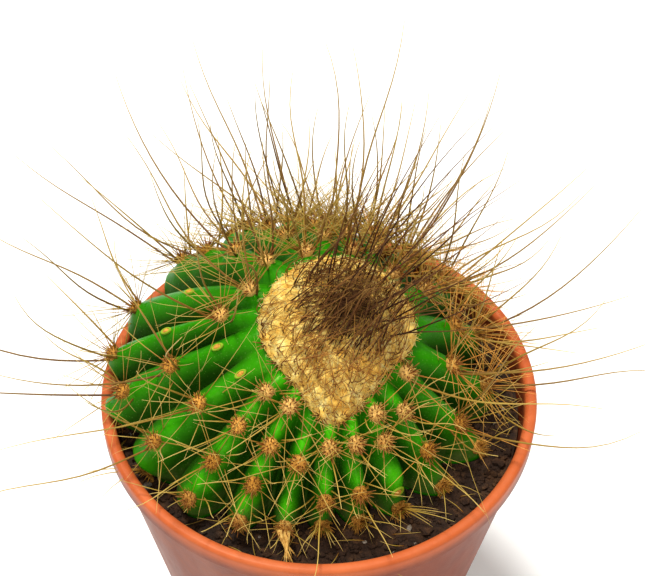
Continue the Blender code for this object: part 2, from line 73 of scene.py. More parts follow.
class Finish:
    """A procedural material: its shader, and short ways to wire nodes into it."""

    def __init__(self, name, shader_values):
        self.material = bpy.data.materials.new(name)
        self.material.use_nodes = True
        self.tree = self.material.node_tree
        self.shader = self.tree.nodes["Principled BSDF"]
        self.fill(self.shader, shader_values)
        self.place = self.node("ShaderNodeTexCoord").outputs["Object"]

    def fill(self, node, values):
        for socket, value in values.items():
            if isinstance(value, bpy.types.NodeSocket):
                self.tree.links.new(value, node.inputs[socket])
            else:
                node.inputs[socket].default_value = value

    def node(self, kind, values=None, **settings):
        node = self.tree.nodes.new(kind)
        for name, value in settings.items():
            setattr(node, name, value)
        self.fill(node, values or {})
        return node

    def noise(self, scale, detail=4.0, roughness=0.55, stretch=None):
        place = self.place
        if stretch:
            place = self.node("ShaderNodeMapping", {"Vector": place, "Scale": stretch}).outputs["Vector"]
        values = {"Vector": place, "Scale": scale, "Detail": detail, "Roughness": roughness}
        return self.node("ShaderNodeTexNoise", values).outputs["Fac"]

    def cells(self, scale):
        return self.node("ShaderNodeTexVoronoi", {"Vector": self.place, "Scale": scale}).outputs["Distance"]

    def attribute(self, name):
        return self.node("ShaderNodeAttribute", attribute_name=name).outputs["Fac"]

    def height(self):
        return self.node("ShaderNodeSeparateXYZ", {"Vector": self.place}).outputs["Z"]

    def span(self, value, start, end, low=0.0, high=1.0):
        """A value's way from start to end, as a share from low to high."""
        values = {"Value": value, "From Min": start, "From Max": end, "To Min": low, "To Max": high}
        return self.node("ShaderNodeMapRange", values).outputs["Result"]

    def sum(self, first, second):
        return self.node("ShaderNodeMath", {0: first, 1: second}, operation="ADD").outputs["Value"]

    def product(self, first, second):
        return self.node("ShaderNodeMath", {0: first, 1: second}, operation="MULTIPLY").outputs["Value"]

    def blend(self, share, *colours):
        """Mix of two colours, by the share of the second."""
        first, second = (item if isinstance(item, bpy.types.NodeSocket) else (*item, 1.0) for item in colours)
        return self.node("ShaderNodeMix", {0: share, 6: first, 7: second}, data_type="RGBA").outputs[2]

    def ramp(self, value, stops):
        node = self.node("ShaderNodeValToRGB", {"Fac": value})
        points = node.color_ramp.elements
        while len(points) < len(stops):
            points.new(0.5)
        for point, (position, colour) in zip(points, stops):
            point.position = position
            point.color = (*colour, 1.0)
        return node.outputs["Color"]

    def coat(self, colour, bumps=(), roughness=None):
        """The material with its colour, its bumps as patterns and heights in metres, and its roughness."""
        self.fill(self.shader, {"Base Color": colour})
        if roughness:
            self.fill(self.shader, {"Roughness": roughness})
        for pattern, height in bumps:
            values = {"Height": pattern, "Distance": height}
            if self.shader.inputs["Normal"].links:
                values["Normal"] = self.shader.inputs["Normal"].links[0].from_socket
            self.fill(self.shader, {"Normal": self.node("ShaderNodeBump", values).outputs["Normal"]})
        return self.material


def coral_plastic():
    finish = Finish("coral plastic", {"Specular IOR Level": 0.25, "Specular Tint": (1.0, 0.82, 0.66, 1.0)})
    # Painted light: the lip's top is painted a brighter coral and the wall under it a darker brick, as the
    # lip is lit from above and the wall stands in shade.
    lip = finish.span(finish.height(), POT_HEIGHT - PAINTED_LIT_LIP_BAND[0], POT_HEIGHT - PAINTED_LIT_LIP_BAND[1])
    mottle = finish.noise(120.0, 6.0, 0.62)
    wall = finish.ramp(mottle, [(0.3, (0.155, 0.025, 0.0075)), (0.7, (0.23, 0.042, 0.013))])
    rim = finish.ramp(mottle, [(0.3, (0.44, 0.087, 0.022)), (0.7, (0.55, 0.125, 0.037))])
    colour = finish.blend(lip, wall, rim)
    dust = finish.product(finish.noise(300.0, 8.0, 0.7), finish.noise(28.0, 3.0))
    colour = finish.blend(finish.span(dust, 0.26, 0.46, 0.0, 0.3), colour, (0.40, 0.13, 0.055))
    smears = finish.noise(55.0, 5.0, 0.65, (1.0, 1.0, 0.18))
    roughness = finish.span(finish.sum(smears, finish.span(dust, 0.2, 0.5, 0.0, 0.25)), 0.3, 0.9, 0.36, 0.62)
    grain = finish.noise(1500.0, 3.0)
    waves = finish.noise(90.0, 4.0, 0.5, (1.0, 1.0, 0.3))
    return finish.coat(colour, [(grain, 0.00004), (waves, 0.00012)], roughness)


def arc(centre, radius, start, end, steps):
    """Points of an arc in a half section, between two angles in degrees."""
    for step in range(steps + 1):
        turn = math.radians(start + (end - start) * step / steps)
        yield centre[0] + radius * math.cos(turn), centre[1] + radius * math.sin(turn)


def wall_radius(height):
    """Outer radius of the tapered wall at a height."""
    return BASE_RADIUS + (WALL_TOP_RADIUS - BASE_RADIUS) * height / (POT_HEIGHT - LIP_DROP)


def inner_radius(height):
    return wall_radius(height) - WALL


def pot_profile():
    """Half section of the pot, from the middle of its underside to the middle of its floor."""
    under_lip = POT_HEIGHT - LIP_DROP
    half_lip = LIP_WIDTH / 2
    points = [(0.0, 0.0), (BASE_RADIUS * 0.5, 0.0)]
    points += arc((BASE_RADIUS - CORNER, CORNER), CORNER, -90.0, 0.0, 6)
    points += [(wall_radius(under_lip * share), under_lip * share) for share in (0.25, 0.5, 0.75)]
    points += arc((wall_radius(under_lip) + LIP_CREASE, under_lip - LIP_CREASE), LIP_CREASE, 180.0, 90.0, 3)
    points += arc((RIM_RADIUS - LIP_EDGE, under_lip + LIP_EDGE), LIP_EDGE, -90.0, 0.0, 3)
    rounding = half_lip * LIP_OUTER_ROUNDING
    points += arc((RIM_RADIUS - rounding, POT_HEIGHT - rounding), rounding, 0.0, 90.0, 7)
    points += arc((RIM_RADIUS - LIP_WIDTH + half_lip, POT_HEIGHT - half_lip), half_lip, 90.0, 180.0, 7)
    points += [(inner_radius(under_lip * share), under_lip * share) for share in (1.0, 0.75, 0.5, 0.25)]
    points += arc((inner_radius(FLOOR) - CORNER, FLOOR + CORNER), CORNER, 0.0, -90.0, 4)
    points += [(BASE_RADIUS * 0.5, FLOOR), (0.0, FLOOR)]
    return points


def add_piece(name, bm, material, smooth_angle=180.0):
    """Make an object from a bmesh, with its faces pointing out and its edges smooth up to an angle."""
    bmesh.ops.recalc_face_normals(bm, faces=bm.faces)
    mesh = bpy.data.meshes.new(name)
    bm.to_mesh(mesh)
    bm.free()
    mesh.materials.append(material)
    mesh.shade_smooth()
    if smooth_angle < 180.0:
        mesh.set_sharp_from_angle(angle=math.radians(smooth_angle))
    piece = bpy.data.objects.new(name, mesh)
    bpy.context.scene.collection.objects.link(piece)
    return piece


def place_piece(piece, node):
    """Let a piece ride in the pot's body, in place of a node."""
    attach(piece, "root")
    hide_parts(node)


def close_rows(bm, rows, first_point, last_point):
    """Join closed rows of points with faces, from one end point to the other."""
    rows = [[bm.verts.new(point) for point in row] for row in rows]
    count = len(rows[0])
    for upper, lower in zip(rows, rows[1:]):
        for index in range(count):
            following = (index + 1) % count
            bm.faces.new((upper[index], lower[index], lower[following], upper[following]))
    for row, point in ((rows[0], first_point), (rows[-1], last_point)):
        tip = bm.verts.new(point)
        for index in range(count):
            bm.faces.new((row[index], row[(index + 1) % count], tip))


def turned(profile, sides):
    """A closed bmesh turned from a half section whose two ends lie on the axis."""
    turns = [2 * math.pi * side / sides for side in range(sides)]
    rows = []
    for radius, height in profile[1:-1]:
        rows.append([(radius * math.cos(turn), radius * math.sin(turn), height) for turn in turns])
    bm = bmesh.new()
    close_rows(bm, rows, (0.0, 0.0, profile[0][1]), (0.0, 0.0, profile[-1][1]))
    return bm


def drilled(piece, holes):
    """Cut a bmesh of drills out of a piece."""
    mesh = bpy.data.meshes.new("drills")
    holes.to_mesh(mesh)
    holes.free()
    drills = bpy.data.objects.new("drills", mesh)
    bpy.context.scene.collection.objects.link(drills)
    cut = piece.modifiers.new("drain holes", "BOOLEAN")
    cut.operation = "DIFFERENCE"
    cut.object = drills
    bpy.context.view_layer.update()
    baked = bpy.data.meshes.new_from_object(piece.evaluated_get(bpy.context.evaluated_depsgraph_get()))
    piece.modifiers.clear()
    piece.data = baked
    bpy.data.objects.remove(drills, do_unlink=True)


def drain_drills():
    bm = bmesh.new()
    for hole in range(DRAIN_HOLES):
        turn = 2 * math.pi * hole / DRAIN_HOLES
        place = Matrix.Translation((DRAIN_CIRCLE * math.cos(turn), DRAIN_CIRCLE * math.sin(turn), FLOOR / 2))
        bmesh.ops.create_cone(bm, cap_ends=True, segments=DRAIN_SIDES, depth=FLOOR * 4, radius1=DRAIN_RADIUS,
                              radius2=DRAIN_RADIUS, matrix=place)
    return bm


pot = add_piece("plant_pot", turned(pot_profile(), POT_SIDES), coral_plastic(), 40.0)
drilled(pot, drain_drills())
place_piece(pot, "pot")


# The cactus. One grown body of watery green flesh under a waxy skin: a half buried ball with ribs, which
# leans its crown to the front and the right and is pressed out of round by the pot.
SOIL_TOP = 0.0725
RIBS = 21
BODY_RADIUS = 0.0433
BODY_HALF_HEIGHT = 0.0523
BODY_CENTRE = Vector((-0.0053, 0.0087, 0.0532))
LEAN_RIGHT = math.radians(10.4)
LEAN_FRONT = math.radians(15.4)
RIB_DEPTH = 0.0056
RIB_ROUNDNESS = 1.75
GROOVE_START = 0.75
GROOVE_FADE = math.radians(22.0)
RIB_TWIST = math.radians(7.0)
RIB_TURN = math.radians(3.5)
RIB_CROWDING = math.radians(8.0)
RIB_DRIFT = (math.radians(12.0), math.radians(-122.0), math.radians(30.0))
LEFT_SWELLING = (0.0058, math.radians(-64.0), math.radians(36.0))
RIGHT_SWELLING = (0.0034, math.radians(66.0), math.radians(28.0))
FRONT_FLATTENING = (-0.0024, math.radians(6.0), math.radians(38.0))
FLANK_START = math.radians(36.0)
FLANK_END = math.radians(66.0)
ROOM_AT_SOIL = 0.0378
ROOM_GROWTH = 0.55
OVERHANG_START = 0.0795
OVERHANG_GROWTH = 1.4
NECK_DEPTH = 0.028
NECK_ROWS = (0.1, 0.2, 0.32, 0.45, 0.58, 0.7, 0.8, 0.88, 0.95)
NECK_FULLNESS = 0.7
LOWEST_SOIL_ANGLE = math.radians(110.0)
HALVINGS = 40
WOOL_EDGE = math.radians(21.5)
WOOL_TAIL = (math.radians(4.5), math.radians(3.0), math.radians(17.0))
WOOL_LEFT_PINCH = (math.radians(-2.0), math.radians(-42.0), math.radians(26.0))
WOOL_RIGHT_PINCH = (math.radians(-5.0), math.radians(58.0), math.radians(30.0))
WOOL_REAR = (math.radians(2.5), math.radians(165.0), math.radians(55.0))
DISH_DEPTH = 0.0028
DISH_ROUNDNESS = 4
FIRST_AREOLES = (30, 29, 23, 26, 20, 33, 37, 32, 26, 32, 27, 33, 26, 29, 26, 31, 32, 28, 25, 24, 35)
AREOLE_STEPS = (13, 12, 7, 12, 21, 15, 15, 13, 11, 10, 11, 10, 11, 12, 19, 16, 12, 12, 10, 10, 17)
MISSING_AREOLE = (2, 2)
BARE_AREOLES = {(14, 1), (15, 1), (16, 0), (17, 0), (2, 3)}
LOWEST_AREOLE = SOIL_TOP + 0.0035
COLUMNS_PER_RIB = 16
ROWS_OVER_SOIL = 96
DISH_ROWS = 14
FAT_TUBERCLE_RIB = 2
FAT_TUBERCLE_ANGLE = math.radians(40.1)
FAT_TUBERCLE_HALF_WIDTH = 0.0039
FAT_TUBERCLE_HALF_LENGTH = 0.0072
FAT_TUBERCLE_RISE = 0.0019
FAT_TUBERCLE_FOOT = -0.0062
UPHILL_STEP = math.radians(1.1)
FLANK_TUBERCLE = 0.0008
FRONT_TUBERCLE = 0.0022
FRONT_TUBERCLE_WIDTH = math.radians(60.0)
TUBERCLE_REACH = math.radians(4.4)
SPREAD_ABOVE = 1.25
SPREAD_BELOW = 0.7
SKIN_WAVES = (160.0, 0.00035)
PALE_REACH = 0.045
PALE_HALF_WIDTH = 0.6
# Reach, half width and offset towards the crown of the painted highlight just above each front areole.
PAINTED_HIGHLIGHT_REACH = 0.05
PAINTED_HIGHLIGHT_HALF_WIDTH = 0.7
PAINTED_HIGHLIGHT_ABOVE = 0.075
CORKY_REACH = 0.35
FULLY_FAT = 0.9
# The skin's marks: painted shade in the grooves, pale skin by the areoles, corky age near the soil, and a
# painted highlight.
SKIN_MARKS = ("groove", "by_areole", "low", "swollen")


def unit(vector):
    return vector.normalized()


CROWN_AXIS = Vector((math.sin(LEAN_RIGHT), -math.sin(LEAN_FRONT), 0.0))
CROWN_AXIS.z = math.sqrt(1.0 - CROWN_AXIS.length_squared)
CROWN_FRONT = Vector((0.0, -1.0, 0.0))
CROWN_FRONT = unit(CROWN_FRONT - CROWN_AXIS * CROWN_FRONT.dot(CROWN_AXIS))
CROWN_SIDE = CROWN_AXIS.cross(CROWN_FRONT)
COMBED = unit(CROWN_SIDE * 0.9 - CROWN_FRONT * 0.8)
ACROSS_COMBED = CROWN_AXIS.cross(COMBED)


def round_crown(heading):
    """Direction away from the crown's axis, at a heading from its front."""
    return CROWN_FRONT * math.cos(heading) + CROWN_SIDE * math.sin(heading)


def bell(heading, middle, width):
    """A smooth bump round a heading, 1 at its middle."""
    return math.exp(-((math.remainder(heading - middle, 2 * math.pi) / width) ** 2))


def rib_heading(rib):
    """Heading of a rib round the crown. Ribs crowd at the front and back, and drift at the back left."""
    even = 2 * math.pi * rib / RIBS
    heading = even + RIB_TURN - RIB_CROWDING * math.sin(2 * even + RIB_CROWDING)
    amount, middle, width = RIB_DRIFT
    return heading + amount * bell(heading, middle, width)


def wool_reach(heading):
    """Angle from the crown at which the wool ends: it has a tail at the front and is narrow beside it."""
    reach = WOOL_EDGE
    for amount, middle, width in (WOOL_TAIL, WOOL_LEFT_PINCH, WOOL_RIGHT_PINCH, WOOL_REAR):
        reach += amount * bell(heading, middle, width)
    return reach


def wool_edge(rib):
    return wool_reach(rib_heading(rib))


def smooth_step(value, start, end):
    share = min(1.0, max(0.0, (value - start) / (end - start)))
    return share * share * (3.0 - 2.0 * share)


def from_crest(rib):
    """How far a place lies from the nearest rib's crest: 0 there, 1 in the groove."""
    return abs(rib - round(rib)) * 2.0


def groove(rib, angle):
    """How deep the groove beside a rib is."""
    edge = wool_edge(rib)
    depth = RIB_DEPTH * from_crest(rib) ** RIB_ROUNDNESS
    return depth * smooth_step(angle, edge * GROOVE_START, edge + GROOVE_FADE)


def sink(rib, angle):
    """How far the skin lies below the plain ellipsoid: the grooves and the crown's dish."""
    return groove(rib, angle) + DISH_DEPTH * max(0.0, 1.0 - (angle / wool_edge(rib)) ** DISH_ROUNDNESS)


def room(height):
    """Largest distance from the pot's axis that the skin has at a height, inside or over the rim."""
    inside = ROOM_AT_SOIL + ROOM_GROWTH * (min(height, OVERHANG_START) - SOIL_TOP)
    return inside + OVERHANG_GROWTH * max(0.0, height - OVERHANG_START)


def swelling(heading, angle):
    """How far the flank stands out to the left and the right, or is flatter at the front."""
    amount = 0.0
    for height, middle, width in (LEFT_SWELLING, RIGHT_SWELLING, FRONT_FLATTENING):
        amount += height * bell(heading, middle, width)
    return amount * smooth_step(angle, FLANK_START, FLANK_END)


def plain_point(rib, angle):
    """Point and outward direction on the ellipsoid that the rib tops lie on."""
    heading = rib_heading(rib) + RIB_TWIST * (angle - math.pi / 4) / (math.pi / 4)
    outward = round_crown(heading)
    across, along = math.sin(angle), math.cos(angle)
    radius = BODY_RADIUS * across + swelling(heading, angle)
    point = BODY_CENTRE + outward * radius + CROWN_AXIS * (BODY_HALF_HEIGHT * along)
    normal = unit(outward * (across / BODY_RADIUS) + CROWN_AXIS * (along / BODY_HALF_HEIGHT))
    return point, normal


FAT_MIDDLE, FAT_OUTWARD = plain_point(FAT_TUBERCLE_RIB, FAT_TUBERCLE_ANGLE)
FAT_UPHILL = unit(plain_point(FAT_TUBERCLE_RIB, FAT_TUBERCLE_ANGLE - UPHILL_STEP)[0] - FAT_MIDDLE)
FAT_ACROSS = FAT_OUTWARD.cross(FAT_UPHILL)


def fat_tubercle(crest):
    """Height over the ribs' crests of the one fat egg-shaped tubercle, or its foot's level beside it."""
    offset = crest - FAT_MIDDLE
    along = offset.dot(FAT_UPHILL) / FAT_TUBERCLE_HALF_LENGTH
    across = offset.dot(FAT_ACROSS) / FAT_TUBERCLE_HALF_WIDTH
    dome = math.sqrt(max(0.0, 1.0 - along * along - across * across))
    return FAT_TUBERCLE_FOOT + (FAT_TUBERCLE_RISE - FAT_TUBERCLE_FOOT) * dome


def skin_point(rib, angle, lift=0.0):
    """Point of the ribbed skin, or lift above it."""
    crest, normal = plain_point(rib, angle)
    point = crest + normal * (lift + max(-sink(rib, angle), fat_tubercle(crest)))
    squeeze = min(1.0, room(crest.z) / math.hypot(crest.x, crest.y))
    return Vector((point.x * squeeze, point.y * squeeze, point.z))


def soil_angle(rib):
    """Angle from the crown at which the skin goes into the soil."""
    above, below = wool_edge(rib), LOWEST_SOIL_ANGLE
    for _ in range(HALVINGS):
        middle = (above + below) / 2
        if skin_point(rib, middle).z > SOIL_TOP:
            above = middle
        else:
            below = middle
    return (above + below) / 2


def areole_places():
    """Rib, number on the rib, and angle from the crown of every areole above the soil."""
    places = []
    for rib, (first, step) in enumerate(zip(FIRST_AREOLES, AREOLE_STEPS)):
        angle = math.radians(first)
        number = 0
        while skin_point(rib, angle).z > LOWEST_AREOLE:
            if (rib, number) != MISSING_AREOLE:
                places.append((rib, number, angle))
            angle += math.radians(step)
            number += 1
    return places


def front_share(rib):
    """1 for a rib at the front of the crown, less beside it."""
    return bell(rib_heading(rib), 0.0, FRONT_TUBERCLE_WIDTH)


def tubercle_table():
    """The angle and the height of the swellings on each rib, one under each areole with spines."""
    table = {rib: [] for rib in range(RIBS)}
    for rib, number, angle in areole_places():
        if (rib, number) not in BARE_AREOLES:
            table[rib].append((angle, FLANK_TUBERCLE + (FRONT_TUBERCLE - FLANK_TUBERCLE) * front_share(rib)))
    return table


TUBERCLES = tubercle_table()


def tubercle_lift(rib, angle):
    """How far the flesh swells out round the areoles of the nearest rib."""
    lift = 0.0
    for middle, height in TUBERCLES[round(rib) % RIBS]:
        reach = TUBERCLE_REACH * (SPREAD_ABOVE if angle < middle else SPREAD_BELOW)
        lift += height * math.exp(-(((angle - middle) / reach) ** 2))
    return lift * (1.0 - from_crest(rib) * from_crest(rib))


def flesh_point(rib, angle):
    """Point of the skin with its tubercles and its slight unevenness."""
    point = skin_point(rib, angle, tubercle_lift(rib, angle))
    scale, height = SKIN_WAVES
    return point + unit(point - BODY_CENTRE) * (height * noise.noise(point * scale))


def rib_columns(per_rib):
    return [column / per_rib for column in range(RIBS * per_rib)]


def soil_line(columns):
    """The closed line where the body goes into the soil."""
    line = [skin_point(rib, soil_angle(rib)) for rib in columns]
    for point in line:
        point.z = SOIL_TOP
    return line


def neck_rows(line, depth):
    """Rows of the buried neck below a line at the soil's level, and its lowest point."""
    middle = sum(line, Vector()) / len(line)
    rows = []
    for share in NECK_ROWS:
        turn = share * math.pi / 2
        narrowing = math.cos(turn) ** NECK_FULLNESS
        drop = Vector((0.0, 0.0, -depth * math.sin(turn)))
        rows.append([middle + (point - middle) * narrowing + drop for point in line])
    return rows, middle - Vector((0.0, 0.0, depth))


def paint(piece, name, values):
    """Give a piece's vertices a number that its finish reads."""
    piece.data.attributes.new(name, "FLOAT", "POINT").data.foreach_set("value", values)


def green_skin():
    finish = Finish("waxy green skin", {
        "Subsurface Weight": 0.12,
        "Subsurface Radius": (0.35, 1.0, 0.1),
        "Subsurface Scale": 0.0022,
        "IOR": 1.33,
        "Specular IOR Level": 0.3,
        "Specular Tint": (0.8, 1.0, 0.4, 1.0),
    })
    # The groove mark carries painted shade: the skin is painted darker down in the grooves, where shade
    # falls.
    depth = finish.attribute("groove")
    mottle = finish.noise(95.0, 5.0, 0.6)
    crest = finish.blend(mottle, (0.006, 0.14, 0.0005), (0.034, 0.30, 0.001))
    painted_groove_shade = finish.blend(mottle, (0.005, 0.045, 0.0005), (0.015, 0.085, 0.001))
    colour = finish.blend(finish.span(depth, 0.02, 0.55), crest, painted_groove_shade)
    cushions = finish.attribute("by_areole")
    colour = finish.blend(finish.span(cushions, 0.35, 1.0, 0.0, 0.45), colour, (0.12, 0.34, 0.015))
    # Painted highlight: the fat tubercle and the skin just above each front areole are painted a bright
    # green.
    swollen = finish.product(finish.attribute("swollen"), finish.noise(180.0, 4.0, 0.6))
    colour = finish.blend(finish.span(swollen, 0.12, 0.5), colour, (0.055, 0.44, 0.003))
    age = finish.product(finish.attribute("low"), finish.noise(260.0, 6.0, 0.7))
    colour = finish.blend(finish.span(age, 0.32, 0.62, 0.0, 0.75), colour, (0.10, 0.13, 0.035))
    specks = finish.cells(1500.0)
    colour = finish.blend(finish.span(specks, 0.0, 0.22, 0.3, 0.0), colour, (0.28, 0.55, 0.12))
    waxiness = finish.span(finish.noise(420.0, 6.0, 0.65), 0.25, 0.75, 0.24, 0.44)
    roughness = finish.sum(waxiness, finish.span(depth, 0.03, 0.35, 0.0, 0.4))
    bumps = [(finish.noise(700.0, 4.0, 0.6), 0.00009), (finish.noise(160.0, 3.0), 0.0002), (specks, 0.00003)]
    return finish.coat(colour, bumps, roughness)


def near_areole(rib, angle, reach, half_width):
    """1 at an areole of the nearest rib, and less round it."""
    along = max(math.exp(-(((angle - middle) / reach) ** 2)) for middle, _ in TUBERCLES[round(rib) % RIBS])
    return along * max(0.0, 1.0 - (from_crest(rib) / half_width) ** 2)


def skin_marks(rib, angle, end):
    """What the skin's finish has to know of a point: one number for each mark, among them painted shade in
    the grooves and a painted highlight on the fat tubercle and just above the front areoles.
    """
    fat = smooth_step(fat_tubercle(plain_point(rib, angle)[0]), 0.0, FULLY_FAT * FAT_TUBERCLE_RISE)
    painted_highlight_above = near_areole(rib, angle + PAINTED_HIGHLIGHT_ABOVE, PAINTED_HIGHLIGHT_REACH, PAINTED_HIGHLIGHT_HALF_WIDTH) * front_share(rib)
    painted_groove_shade = groove(rib, angle) / RIB_DEPTH * (1.0 - fat)
    pale = near_areole(rib, angle, PALE_REACH, PALE_HALF_WIDTH)
    return painted_groove_shade, pale, smooth_step(angle, end - CORKY_REACH, end), max(painted_highlight_above, fat)


def make_flesh():
    columns = rib_columns(COLUMNS_PER_RIB)
    ends = [soil_angle(rib) for rib in columns]
    edges = [wool_edge(rib) for rib in columns]
    rows = []
    marks = []
    for step in range(1, DISH_ROWS + ROWS_OVER_SOIL):
        row = []
        for rib, edge, end in zip(columns, edges, ends):
            if step <= DISH_ROWS:
                angle = edge * step / DISH_ROWS
            else:
                angle = edge + (end - edge) * (step - DISH_ROWS) / ROWS_OVER_SOIL
            row.append(flesh_point(rib, angle))
            marks.append(skin_marks(rib, angle, end))
        rows.append(row)
    line = soil_line(columns)
    rows.append(line)
    buried, lowest = neck_rows(line, NECK_DEPTH)
    rows += buried
    bm = bmesh.new()
    close_rows(bm, rows, skin_point(0, 0.0), lowest)
    flesh = add_piece("cactus_flesh", bm, green_skin())
    for name, mark in zip(SKIN_MARKS, zip(*marks)):
        values = numpy.zeros(len(flesh.data.vertices))
        values[:len(mark)] = mark
        paint(flesh, name, values)
    return flesh


place_piece(make_flesh(), "cactus_body")


# The soil. Dark, damp peat with crumbs and a little grey grit, filled in round the cactus's neck and pressed
# down to just below the rim.
FIT_GAP = 0.00035
SOCKET_GAP = 0.0005
SOIL_ROWS = 26
SOIL_SIDE_ROWS = 8
SOIL_COLUMNS_PER_RIB = 12
SOIL_ROUGHNESS = (190.0, 0.0008)
SOIL_LUMPS = (620.0, 0.0004)
SOIL_SETTLING = 0.0002
CLEAR_OF_WALL = 0.0008
CRUMBS = 1500
CRUMB_SIZES = (0.0003, 0.00045, 0.0006, 0.0009)
GRIT = 46
GRIT_SIZES = (0.0004, 0.0009)
LUMP_WIDTHS = (0.6, 1.3)
LUMP_HEIGHTS = (0.5, 1.0)
LUMP_DENTS = (0.8, 1.2)


def dark_peat():
    finish = Finish("dark peat", {"Specular IOR Level": 0.25})
    lumps = finish.noise(420.0, 9.0, 0.72)
    colour = finish.ramp(lumps, [
        (0.25, (0.008, 0.005, 0.004)),
        (0.5, (0.036, 0.017, 0.009)),
        (0.64, (0.095, 0.044, 0.018)),
        (0.8, (0.24, 0.12, 0.048)),
    ])
    damp = finish.noise(70.0, 3.0)
    colour = finish.blend(finish.span(damp, 0.35, 0.7, 0.0, 0.5), colour, (0.014, 0.009, 0.007))
    bumps = [(lumps, 0.0006), (finish.noise(2400.0, 5.0, 0.7), 0.00015)]
    return finish.coat(colour, bumps, finish.span(damp, 0.3, 0.7, 0.95, 0.6))


def widened(line, gap):
    """The same closed line, moved outward by a gap."""
    moved = []
    for index, point in enumerate(line):
        along = line[(index + 1) % len(line)] - line[index - 1]
        moved.append(point + unit(Vector((along.y, -along.x, 0.0))) * gap)
    return moved


SOCKET_LINE = widened(soil_line(rib_columns(SOIL_COLUMNS_PER_RIB)), SOCKET_GAP)


def soil_relief(point):
    """Height of the uneven soil over its mean level."""
    (scale, height), (lump_scale, lump_height) = SOIL_ROUGHNESS, SOIL_LUMPS
    lumps = lump_height * noise.noise(point * lump_scale)
    return height * noise.fractal(point * scale, 0.9, 2.1, 5) + lumps


def level_outward(vector):
    return unit(Vector((vector.x, vector.y, 0.0)))


def make_soil(peat):
    rows, lowest = neck_rows(SOCKET_LINE, NECK_DEPTH + SOCKET_GAP)
    rows.reverse()
    rows.append(SOCKET_LINE)
    edge = []
    for point in SOCKET_LINE:
        reach = inner_radius(SOIL_TOP) - FIT_GAP
        edge.append(level_outward(point) * reach + Vector((0.0, 0.0, SOIL_TOP)))
    for step in range(1, SOIL_ROWS):
        share = step / SOIL_ROWS
        row = []
        for inner, outer in zip(SOCKET_LINE, edge):
            point = inner.lerp(outer, share)
            point.z += soil_relief(point) * min(1.0, 6.0 * share * (1.0 - share)) - SOIL_SETTLING
            row.append(point)
        rows.append(row)
    rows.append(edge)
    foot = FLOOR + FIT_GAP
    for step in range(1, SOIL_SIDE_ROWS + 1):
        height = SOIL_TOP + (foot - SOIL_TOP) * step / SOIL_SIDE_ROWS
        narrowing = (inner_radius(height) - FIT_GAP) / (inner_radius(SOIL_TOP) - FIT_GAP)
        rows.append([Vector((point.x * narrowing, point.y * narrowing, height)) for point in edge])
    bm = bmesh.new()
    close_rows(bm, rows, lowest, Vector((0.0, 0.0, foot)))
    return add_piece("soil_plug", bm, peat, 60.0)


def soil_spots(count, seed):
    """Random places on the open soil, between the cactus and the pot's wall, with the draw that made them."""
    draw = random.Random(seed)
    for _ in range(count):
        inner = draw.choice(SOCKET_LINE)
        outer = level_outward(inner) * (inner_radius(SOIL_TOP) - FIT_GAP - CLEAR_OF_WALL)
        point = inner.lerp(Vector((outer.x, outer.y, SOIL_TOP)), draw.random() ** 0.7)
        point.z += soil_relief(point)
        yield point, draw


def add_lump(bm, point, size, draw, flatness=0.7):
    """An irregular crumb, half sunk where it lies."""
    lump = bmesh.ops.create_icosphere(bm, subdivisions=1, radius=size)["verts"]
    widths = draw.uniform(*LUMP_WIDTHS), draw.uniform(*LUMP_WIDTHS)
    shape = Matrix.Diagonal((*widths, draw.uniform(*LUMP_HEIGHTS) * flatness))
    spin = Matrix.Rotation(draw.uniform(0.0, 2 * math.pi), 3, "Z")
    for vertex in lump:
        vertex.co = point + spin @ (shape @ vertex.co) * draw.uniform(*LUMP_DENTS)


def make_crumbs(peat):
    bm = bmesh.new()
    for point, draw in soil_spots(CRUMBS, 5):
        add_lump(bm, point, draw.choice(CRUMB_SIZES), draw)
    return add_piece("soil_crumbs", bm, peat, 30.0)


def grey_grit():
    finish = Finish("grey grit", {"Specular IOR Level": 0.4, "Roughness": 0.75})
    colour = finish.ramp(finish.noise(900.0, 5.0), [(0.3, (0.09, 0.075, 0.06)), (0.7, (0.3, 0.26, 0.22))])
    return finish.coat(colour, [(finish.noise(2600.0, 4.0), 0.0001)])


def make_grit():
    bm = bmesh.new()
    for point, draw in soil_spots(GRIT, 8):
        add_lump(bm, point, draw.uniform(*GRIT_SIZES), draw, 0.9)
    return add_piece("soil_grit", bm, grey_grit(), 30.0)


peat = dark_peat()
for soil_piece in (make_soil(peat), make_crumbs(peat), make_grit()):
    place_piece(soil_piece, "soil")


# The areoles. Each is a small cushion of felt that grows on a rib's crest and carries the spines. The young
# ones by the crown are cream, and the older ones turn golden brown. A few have lost their spines and show a
# small bare scar in a raised rim of pale skin.
AREOLE_LENGTH = 0.00168
AREOLE_WIDTH = 0.0015
AREOLE_HEIGHT = 0.0009
SCAR_LENGTH = 0.00095
SCAR_WIDTH = 0.0005
SCAR_HEIGHT = 0.0005
SCAR_TONE = 0.45
FRONT_SCARS = math.radians(50.0)
FRONT_SCAR_LENGTH = 1.15
FRONT_SCAR_WIDTH = 2.0
SCAR_RIM = (1.12, 1.15)
SCAR_RIM_WIDTH = 0.3
SCAR_RIM_SINK = 0.0001
SCAR_RIM_RISE = 0.00032
SCAR_RIM_STEPS = 28
SCAR_RIM_SIDES = 8
CUSHION_RINGS = 6
CUSHION_SIDES = 18
CUSHION_SINK = 0.0004
CUSHION_UNDER = 0.0006
CUSHION_FLUFF = (1900.0, 0.0003)
FELT_HAIRS = 110
FELT_HAIR_ROOT = 0.0002
FELT_HAIR_LENGTH = (0.0005, 0.0011)
FELT_HAIR_RADIUS = 0.00006
FELT_HAIR_TIP = 0.4


